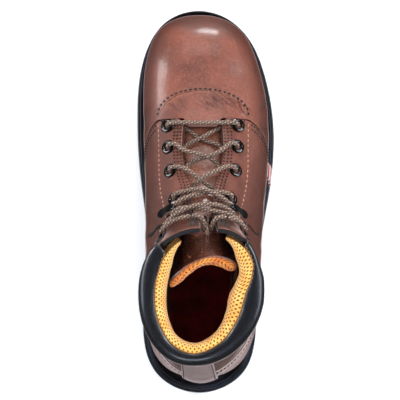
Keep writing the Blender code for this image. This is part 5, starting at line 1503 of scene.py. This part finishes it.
def collar_frame(v, depth_at, sunk):
    """A function from (out, share of depth) arrays to points, at one place round the top."""
    side = -1 if v < 0 else 1
    g = abs(v) * top_girth(side)
    depth = float(depth_at(g))
    cover_swell, mesh_swell = np.interp(g, *COVER_SWELL[side]), np.interp(g, *MESH_SWELL[side])
    lowered = sunk * (1 - float(step(g, PAD_G - 2, 50)))
    line = last(U[::-1], v, 0)
    along = lengths(line)
    normal = last(1.0, v, 4) - last(1.0, v, 0)
    normal /= np.linalg.norm(normal)
    down = line[8] - line[0]
    down /= np.linalg.norm(down)

    def place(out, share):
        at = np.asarray(share) * depth
        base = pick(line, along, at)
        base = np.where(at[:, None] >= 0, base, line[0] + down * at[:, None])
        out = np.asarray(out)
        past_edge = BAND_EDGE * cover_swell + (out - BAND_EDGE) * mesh_swell
        reach = np.where(out > BAND_EDGE, out * cover_swell, past_edge)
        reach = np.where(out > 0, out * min(cover_swell, 0.8), reach)
        return base + normal * (reach - 0.5 * lowered)[:, None]

    return place


def pad_section(line, count, thick):
    """(face line, back line) of a pad's section: points through the line, and the same moved inwards."""
    face = through(np.array(line) * [1, COLLAR_DEPTH], count)
    along = np.gradient(face, axis=0)
    normal = unit(np.stack([along[:, 1], -along[:, 0]], axis=1))
    share = np.sin(np.linspace(0.02, math.pi - 0.02, count)) ** 0.5
    back = face - normal * (0.6 + (thick - 0.6) * share)[:, None]
    return face / [1, COLLAR_DEPTH], back / [1, COLLAR_DEPTH]


def collar_pad(name, line, first_g, depth_at, sunk, thick, paint, cap, stands_for):
    """One padded band of the collar, puffed up by cloth simulation between its two seams."""
    face, back = pad_section(line, 18, thick)
    places = collar_places(first_g, 2.4)
    grid, backs = [], []
    for v in places:
        place = collar_frame(v, depth_at, sunk)
        grid.append(place(*face.T))
        backs.append(place(*back.T))
    grid, backs = np.array(grid), np.array(backs)
    rows, columns = grid.shape[:2]
    grid = grid + 0.12 * np.sin(np.arange(rows) * 1.9)[:, None, None] * (grid - backs) / max(thick, 1)
    ring = np.concatenate([grid, backs[:, ::-1]], axis=1)
    around = ring.shape[1]
    run = lengths(grid[:, columns // 2])
    across = lengths(grid[rows // 2])
    wide = np.concatenate([across, across[-1] + lengths(backs[rows // 2][::-1]) + thick])
    wide = np.append(wide, wide[-1] + thick)
    i, j = np.meshgrid(np.arange(rows - 1), np.arange(around), indexing="ij")
    uv = np.stack([np.stack([run[i], run[i], run[i + 1], run[i + 1]], axis=-1),
                   np.stack([wide[j], wide[j + 1], wide[j + 1], wide[j]], axis=-1)], axis=-1).reshape(-1, 2)
    uv = np.concatenate([uv, np.zeros((2 * around, 2))])
    pinned = np.ones((rows, around), bool)
    pinned[2:-2, 2 : columns - 2] = False
    obj = piece(name, ring.reshape(-1, 3), tube_faces(rows, around), paint, uv=uv, crisp=180,
                stands_for=stands_for)
    puff(obj, pinned.ravel(), cap)


def cover_line(at, lift):
    """Points and outward directions along the black band, at one place of its section, for seams on it."""
    count, reach = 40, 2
    k = int(at * (count - 1))
    face = through(np.array(COLLAR_SKIN) * [1, COLLAR_DEPTH], count) / [1, COLLAR_DEPTH]
    points, across = [], []
    for v in collar_places(COVER_G + 1, 1.5):
        here = collar_frame(v, cover_depth, 0.0)(*face.T)
        points.append(here[k])
        across.append(here[min(k + reach, count - 1)] - here[max(k - reach, 0)])
    points = np.array(points)
    normals = unit(np.cross(np.gradient(points, axis=0), np.array(across)))
    if normals[:, 2].mean() < 0:
        normals = -normals
    return points + normals * lift, normals


def outward(points, normals):
    """The same directions, turned to point away from the shaft's middle."""
    flat = points - points.mean(axis=0)
    flat[:, 2] = 0
    turn = np.sign((flat * normals).sum(axis=1))
    return normals * np.where(turn == 0, 1, turn)[:, None]


def make_collar():
    collar_pad("collar_cover_pad", COLLAR_SKIN, COVER_G, cover_depth, 0.0, 3.2, collar_paint, 2.2,
               ("collar_cover", "collar_foam"))
    collar_pad("collar_mesh_pad", COLLAR_MESH, PAD_G - 4, pad_depth, 3.0, 2.4, orange_mesh, 1.6,
               ("collar_lining",))
    points, normals = cover_line(1.0, 0.5)
    sideways = unit(np.cross(normals, np.gradient(points, axis=0)))
    wiggle = np.where(np.arange(len(points)) % 2 == 0, 0.7, -0.7)[:, None]
    zigzag = evenly(points + sideways * wiggle + normals * 0.15, 0.5)
    cord("collar_border_stitch", zigzag, 0.22, 6, cream_thread, slot="orange_mesh")
    points, normals = cover_line(0.06, 0.2)
    stitches("collar_edge_stitches", [(points, outward(points, normals))], grey_thread, long=2.4, gap=1.4,
             radius=0.28, slot="black_collar_leather")


# ---------------------------------------------------------------- the tongue
TONGUE_LINE = [  # (y, z) of its outer face, from the throat up
    (168, 83), (157, 85.5), (141, 90), (125, 97.5), (107, 110.5), (90, 128), (74, 147), (61.5, 167),
]  # fmt: skip
TONGUE_HALF = ([0, 0.3, 0.6, 0.85, 1.0], [30, 33, 31.5, 32.5, 38.0])
TONGUE_RADIUS = ([0, 0.3, 0.6, 1.0], [46, 38, 30, 28.5])
TONGUE_YAW = 0.32  # the loose top sits twisted towards the inner side
TONGUE_PATH = through(TONGUE_LINE, 200)


def tongue_points(share, across, depth):
    """Points of the tongue: share up its length, across -1 to 1, depth below its outer face."""
    share, across, depth = np.broadcast_arrays(share, across, depth)
    known = np.arange(len(TONGUE_PATH))
    at = np.clip(share, 0, 1) * known[-1]
    y, z = np.interp(at, known, TONGUE_PATH[:, 0]), np.interp(at, known, TONGUE_PATH[:, 1])
    along = unit(pick(np.gradient(TONGUE_PATH, axis=0), known, at))
    out_y, out_z = along[..., 1], -along[..., 0]
    radius = np.interp(share, *TONGUE_RADIUS)
    turn = across * np.interp(share, *TONGUE_HALF) / radius
    x = (radius - depth) * np.sin(turn)
    back = radius - (radius - depth) * np.cos(turn)
    back = back - TONGUE_YAW * step(share, 0.55, 1.0) * x
    return np.stack([CENTRE_X + x, y - out_y * back, z - out_z * back], axis=-1)


def tongue_edge(across):
    """How far up the tongue reaches at each place across it: rounded top corners."""
    return 1 - 0.05 * np.abs(across) ** 3.5


def make_tongue():
    shares, across = graded(150, 2.0, first=False, last_end=False)[:, None], np.linspace(-1, 1, 60)[None]
    s = shares * tongue_edge(across) * 0.985
    flat = tongue_points(s, across, 0.0)
    bumps = ripple(flat, 26, 0.9, 21) + ripple(flat, 10, 0.25, 22)
    fade = step(s, 0.02, 0.2) * step(1 - np.abs(across), 0.0, 0.15)
    top = tongue_points(s, across, np.clip(0.35 - bumps * fade * 0.6, 0.0, 0.9))
    under = tongue_points(s, across, 1.4)
    faces, _ = slab_faces(*s.shape)
    painted_stay_shade = step(np.abs(across) * np.interp(s, *TONGUE_HALF), 11.0, 18.0)  # painted shade: the tongue drawn darker where the lace stays shade it
    piece("tongue_leather_face", np.concatenate([top.reshape(-1, 3), under.reshape(-1, 3)]), faces.tolist(),
          tongue_paint, body="tongue", stands_for="tongue_leather",
          marks={"painted_shade": np.concatenate([1.4 * painted_stay_shade.ravel(), np.zeros(s.size)])})
    make_tongue_pad()
    u = np.linspace(0.80, 0.94, 30)
    points = tongue_points(u, -0.02, -0.05)
    out = unit(points - tongue_points(u, -0.02, 1.0))
    stitches("tongue_stitches", [(points, out)], pale_thread, long=2.4, gap=0.8, radius=0.26, body="tongue")


def make_tongue_pad():
    """Padding and mesh lining of the tongue as one pad whose mesh rolls over the top edge."""
    rows, columns = 56, 34
    share = np.linspace(0.1, 1.0, rows)[:, None]
    across = np.linspace(-0.97, 0.97, columns)[None]
    s = share * tongue_edge(across)
    crown = (1 - np.abs(across) ** 4) ** 0.5 * (1 - np.clip((0.16 - share) / 0.06, 0, 1) ** 2 * 0.8)
    face = tongue_points(s, across, 6.9 + 2.6 * step(share, 0.8, 0.96) - 0.9 * (1 - crown) * 3)
    back = tongue_points(s, across, 1.9 + 0.6 * (1 - crown))
    face[-1] = tongue_points(s[-1], across[0], 5.6)
    back[-1] = tongue_points(s[-1], across[0], 3.4)
    faces, _ = slab_faces(rows, columns)
    down, _, side_run, _ = grid_runs(face)
    pairs = np.stack([side_run, down], axis=-1).reshape(-1, 2)
    back_pairs = np.stack([side_run, 2 * down[-1:] - down], axis=-1).reshape(-1, 2)
    uv = np.concatenate([pairs, back_pairs])[faces.ravel()]
    obj = piece("tongue_mesh_pad", np.concatenate([face.reshape(-1, 3), back.reshape(-1, 3)]), faces.tolist(),
                tongue_mesh, body="tongue", uv=uv, crisp=180, stands_for=("tongue_lining", "tongue_foam"))
    free = np.zeros((2, rows, columns), bool)
    free[:, 4:, 2:-2] = True
    free[1, : rows - 8] = False
    puff(obj, ~free.ravel(), 1.8)


# ---------------------------------------------------------------- eyelets, hooks and laces
EYELET_PROFILE = [
    (BUSHING, OVERLAY - 0.6), (BUSHING + 0.1, OVERLAY + 0.9), (3.7, OVERLAY + 1.5), (4.6, OVERLAY + 1.4),
    (5.35, OVERLAY + 0.9), (5.6, OVERLAY + 0.25), (5.2, OVERLAY + 0.1), (4.0, OVERLAY + 0.1), (4.0, -4.2),
    (4.9, -4.5), (4.4, -4.9), (3.4, -4.9), (BUSHING, -4.3),
]  # fmt: skip
HOOK_STRIP = [  # section of a speed hook: (away from the lacing, out of the leather)
    (5.6, 0.45), (-5.2, 0.45), (-6.7, 1.15), (-7.4, 2.7),
    (-6.75, 4.85), (-5.2, 6.15), (3.6, 6.75), (6.4, 8.0),
]  # fmt: skip
HOOK_HALF_WIDTH = [6.6, 6.2, 3.6, 3.2, 3.4, 4.2, 6.6, 6.2]
HOOK_SEAT = OVERLAY + 0.4
RIVET = [(0.01, -5.4), (2.2, -5.4), (2.5, -5.1), (1.4, -4.7), (1.3, HOOK_SEAT + 0.9), (2.3, HOOK_SEAT + 1.0),
         (2.3, HOOK_SEAT + 1.35), (1.7, HOOK_SEAT + 1.85), (0.01, HOOK_SEAT + 2.0)]  # fmt: skip


def make_eyelets():
    for row, (t, g) in enumerate(zip(EYELET_T, EYELET_G)):
        for side, word in SIDES:
            label = f"{word}_{row + 1}"
            turned(f"eyelet_ring_{label}", EYELET_PROFILE, 40, seat(float(q_at(t)), side * g), eyelet_paint,
                   stands_for=f"eyelet_{label}")


def make_hook(label, place):
    """Speed hook bent from a strip with a wide rounded base, a narrow neck and an arm back over it."""
    thick, power, around, end_round = 0.45, 0.45, 20, 2.6
    spine = through(HOOK_STRIP, 44)
    nodes_at = lengths(np.array(HOOK_STRIP, float))
    run = lengths(spine)
    half = np.interp(run / run[-1], nodes_at / nodes_at[-1], HOOK_HALF_WIDTH)
    ends = np.minimum(run, run[-1] - run)
    half = half * np.sqrt(np.clip(1 - np.clip(1 - ends / end_round, 0, 1) ** 2, 0.02, 1))
    along = np.gradient(spine, axis=0)
    normal = unit(np.stack([-along[:, 1], along[:, 0]], axis=1))
    cos, sin = np.cos(full_turn(around)), np.sin(full_turn(around))
    wide, high = np.sign(cos) * np.abs(cos) ** power, np.sign(sin) * np.abs(sin) ** power
    points = [
        place(a + n[0] * h * thick, w * size, HOOK_SEAT + out + n[1] * h * thick)
        for (a, out), size, n in zip(spine, half, normal) for w, h in zip(wide, high)
    ]  # fmt: skip
    piece(f"speed_hook_{label}", np.array(points), tube_faces(len(spine), around), eyelet_paint, crisp=70,
          stands_for=f"hook_{label}")


def make_rivet(label, place):
    line, around = evenly(np.array(RIVET), 0.25), 24
    points = [place(r * math.cos(a), r * math.sin(a), h) for r, h in line for a in full_turn(around)]
    piece(f"speed_hook_rivet_{label}", np.array(points), tube_faces(len(line), around), eyelet_paint,
          crisp=60, stands_for=f"hook_rivet_{label}")


def make_hooks():
    for number, (t, g) in enumerate(zip(HOOK_T, HOOK_G)):
        for side, word in SIDES:
            label, place = f"{word}_{number + 1}", seat(float(q_at(t)), side * g)
            make_hook(label, place)
            make_rivet(label, place)


LACE_TOP, LACE_UNDER = OVERLAY + 3.1, -7.2
EYELET_TOP = [(0.0, 1.2), (0.9, 3.6), (3.0, 5.2), (6.6, LACE_TOP)]  # (towards the gap, layer)
EYELET_BOTTOM = [(0.0, -4.2), (0.9, -6.0), (3.2, -7.3), (6.6, LACE_UNDER)]
HOOK_LOOP = [(-8.5, -5.2), (-5.0, -4.4), (-3.0, -2.4), (-2.6, 0.0), (-3.0, 2.4), (-5.0, 4.4), (-8.5, 5.2)]
HOOK_CHANNEL = HOOK_SEAT + 3.3


def eyelet_path(row, side, upwards):
    """Points through one eyelet, from under the facing to above it or back."""
    place = seat(float(q_at(EYELET_T[row])), side * EYELET_G[row])
    path = [place(-a, 0, h) for a, h in EYELET_BOTTOM[::-1] + EYELET_TOP]
    return path if upwards else path[::-1]


def half_lace(side):
    """Points of half the lace, from the first eyelet on one side to past the last hook."""
    now = side
    points = eyelet_path(0, now, upwards=False)
    for row in range(3):
        q0, q1 = float(q_at(EYELET_T[row])), float(q_at(EYELET_T[row + 1]))
        edge = float(facing_edge((EYELET_T[row] + EYELET_T[row + 1]) / 2))
        middle = -5.2 if row == 0 else -1.2
        if row > 0:
            points.append(spot(q0 + (q1 - q0) * 0.22, now * (edge + 0.6), LACE_TOP - 0.3))
        points.append(spot((q0 + q1) / 2, 0.0, middle + 2.1 * side))
        points.append(spot(q0 + (q1 - q0) * 0.78, -now * (edge - 1.0), LACE_UNDER + 0.6))
        now = -now
        points += eyelet_path(row + 1, now, upwards=True)
    q_last = float(q_at(EYELET_T[3]))
    for t, g in zip(HOOK_T, HOOK_G):
        q = float(q_at(t))
        points.append(spot((q_last + q - 4.9) / 2, 0.0, 5.6 + 2.1 * side))
        now = -now
        place = seat(q, now * g)
        points += [place(a, b, HOOK_CHANNEL) for a, b in HOOK_LOOP]
        q_last = q + 4.9
    return points, now, q_last


BRAID_RADIUS = 1.62  # the braid's valleys; its strands stand a little higher
BRAID_PITCH = 0.45  # mm between the rings of points along it
LACE_DROP = {-1: 1.2, 1: 7.2}  # where the ends go down between the facings, off their middle
LACE_TAIL = [  # a loose end's way down: (mm along the facings, mm to its own side of the drop, layer)
    (1.0, 9.0, 5.4), (2.2, 3.6, 4.6), (2.2, 0.8, 1.4), (0.6, 0.0, -4.0),
    (-6.0, 0.0, -7.2), (-15.0, 0.0, -7.4), (-24.0, 0.0, -7.4),
]  # fmt: skip
TIP_START = 46  # the sample of a loose end at which its plastic tip begins, of 60


def braid_height(turn, run):
    """Raised strands of a round braid, in mm."""
    return 0.1 * np.sin(8 * turn + run * 2.4) * np.sin(8 * turn - run * 2.4)


def make_laces():
    """One lace over the boot, then its two loose ends, tucked in behind the facings, and their tips."""
    halves = [half_lace(side) for side, _ in SIDES]
    q0 = float(q_at(EYELET_T[0]))
    bar = [spot(q0, g, LACE_TOP - 0.2) for g in (-8.0, 8.0)]
    starts = [[spot(q + 1.0, LACE_DROP[now] + now * 9.0, 5.4)] for _, now, q in halves]
    path = through(np.array(starts[0] + halves[0][0][::-1] + bar + halves[1][0] + starts[1]), 3000)
    cord("lace_braid", evenly(path, BRAID_PITCH), BRAID_RADIUS, 24, lace_paint, braid_height,
         stands_for="lace")
    for _, now, q in halves:
        word = dict(SIDES)[now]
        tail = through(np.array([spot(q + a, LACE_DROP[now] + now * b, d) for a, b, d in LACE_TAIL]), 60)
        cord(f"lace_end_braid_{word}", evenly(tail[1:TIP_START], BRAID_PITCH), BRAID_RADIUS, 24, lace_paint,
             braid_height, body=f"lace_end_{word}", stands_for=f"lace_end_{word}")
        cord(f"lace_aglet_{word}", evenly(tail[TIP_START + 1 :], 0.5), LACE_RADIUS + 0.1, 24, aglet_paint,
             body=f"lace_end_{word}", stands_for=f"lace_tip_{word}")


# ---------------------------------------------------------------- build the boot
make_outsole()
make_midsole()
make_footbed()
make_vamp()
make_plug()
for side, word in SIDES:
    make_quarter(side, word)
    make_stay(side, word)
    make_quarter_lining(side, word)
make_counter_cover()
make_backstay()
make_vamp_lining()
make_side_tab()
stitch_upper()
make_collar()
make_tongue()
make_eyelets()
make_hooks()
make_laces()

HIDDEN_PARTS = {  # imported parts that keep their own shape
    "shank": steel,
    "steel_toe_cap": steel,
    "insole_board": fibre_board,
    "heel_counter": fibre_board,
    "toe_cap_edge_strip": strip_foam,
}
for node, paint in HIDDEN_PARTS.items():
    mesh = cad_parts[node].data
    mesh.materials.clear()
    mesh.materials.append(paint)


# ---------------------------------------------------------------- floor, light and camera
def make_floor():
    p = Paint("pale_floor")
    paper = p.noise(3.0, 3)
    p.finish(p.mix(paper, srgb(244, 244, 244), srgb(248, 248, 248)), 0.9, p.bump(paper, 0.02))
    mesh = bpy.data.meshes.new("floor")
    reach = 3.0  # metres to each side
    corners = [(-reach, -reach, 0), (reach, -reach, 0), (reach, reach, 0), (-reach, reach, 0)]
    mesh.from_pydata(corners, [], [(0, 1, 2, 3)])
    mesh.materials.append(p.material)
    floor = bpy.data.objects.new("floor", mesh)
    bpy.context.scene.collection.objects.link(floor)
    floor.visible_glossy = False  # a real set keeps the white floor's glare off the sides with flags


def soft_light(name, place, aim, width, height, power, colour=(1, 1, 1)):
    """A softbox in metres and watts, turned towards a point."""
    data = bpy.data.lights.new(name, "AREA")
    data.shape = "RECTANGLE"
    data.size, data.size_y, data.energy = width, height, power
    data.color = colour
    light = bpy.data.objects.new(name, data)
    light.location = place
    light.rotation_euler = (Vector(aim) - Vector(place)).to_track_quat("-Z", "Y").to_euler()
    bpy.context.scene.collection.objects.link(light)


def make_world(ambient, mirrored, backdrop):
    """Dim light from all round, dimmer in reflections, with a pale backdrop behind the floor."""
    world = bpy.data.worlds.new("studio")
    world.use_nodes = True
    nodes, links = world.node_tree.nodes, world.node_tree.links
    rays = nodes.new("ShaderNodeLightPath")
    in_gloss = nodes.new("ShaderNodeMapRange")
    in_gloss.inputs["To Min"].default_value = ambient
    in_gloss.inputs["To Max"].default_value = mirrored
    links.new(rays.outputs["Is Glossy Ray"], in_gloss.inputs["Value"])
    strength = nodes.new("ShaderNodeMapRange")
    strength.inputs["To Max"].default_value = backdrop
    links.new(rays.outputs["Is Camera Ray"], strength.inputs["Value"])
    links.new(in_gloss.outputs[0], strength.inputs["To Min"])
    nodes["Background"].inputs["Color"].default_value = (1, 1, 1, 1)
    links.new(strength.outputs[0], nodes["Background"].inputs["Strength"])
    bpy.context.scene.world = world


COOL = (0.78, 0.87, 1.0)  # daylight tint of the lights behind and beside the heel


def make_lights():
    make_world(ambient=0.18, mirrored=0.06, backdrop=1.0)
    sun = bpy.data.lights.new("ceiling", "SUN")
    sun.energy, sun.angle = 2.0, math.radians(70)
    ceiling = bpy.data.objects.new("ceiling", sun)
    ceiling.visible_glossy = False  # it lights the floor evenly and leaves no glare
    bpy.context.scene.collection.objects.link(ceiling)
    soft_light("inner_softbox", (-1.0, 0.44, 0.46), (0, 0.19, 0.07), 0.16, 0.6, 6.5)
    soft_light("outer_softbox", (0.85, 0.3, 0.7), (0, 0.12, 0.07), 0.3, 0.6, 7.5)
    soft_light("toe_softbox", (0.13, 1.25, 0.27), (0.01, 0.2, 0.07), 0.3, 0.22, 8.5)
    soft_light("front_softbox", (0.0, 0.95, 1.0), (0, 0.14, 0.09), 0.9, 0.5, 4.0)
    soft_light("heel_softbox", (-0.05, -1.0, 0.45), (0, 0, 0.08), 0.6, 0.3, 4.5, COOL)
    soft_light("inner_rim", (-0.7, 0.05, 0.3), (0, 0.05, 0.1), 0.6, 0.3, 3.0, COOL)
    soft_light("outer_rim", (0.7, -0.1, 0.3), (0, 0.05, 0.1), 0.6, 0.3, 3.0, COOL)


def make_camera():
    """Seen from straight above the shaft, aimed at the middle of the boot with the toe upwards."""
    height, above, aimed = 1.2, 0.0428, 0.113  # metres: the lens's height and y, and the y it is aimed at
    data = bpy.data.cameras.new("camera")
    data.lens, data.sensor_width = 130.9, 36.0
    camera = bpy.data.objects.new("camera", data)
    camera.location = (0, above, height)
    camera.rotation_euler = (math.atan2(aimed - above, height), 0, 0)
    bpy.context.scene.collection.objects.link(camera)
    bpy.context.scene.camera = camera


make_floor()
make_lights()
make_camera()
bpy.context.scene.view_settings.view_transform = "Standard"

bpy.context.view_layer.update()
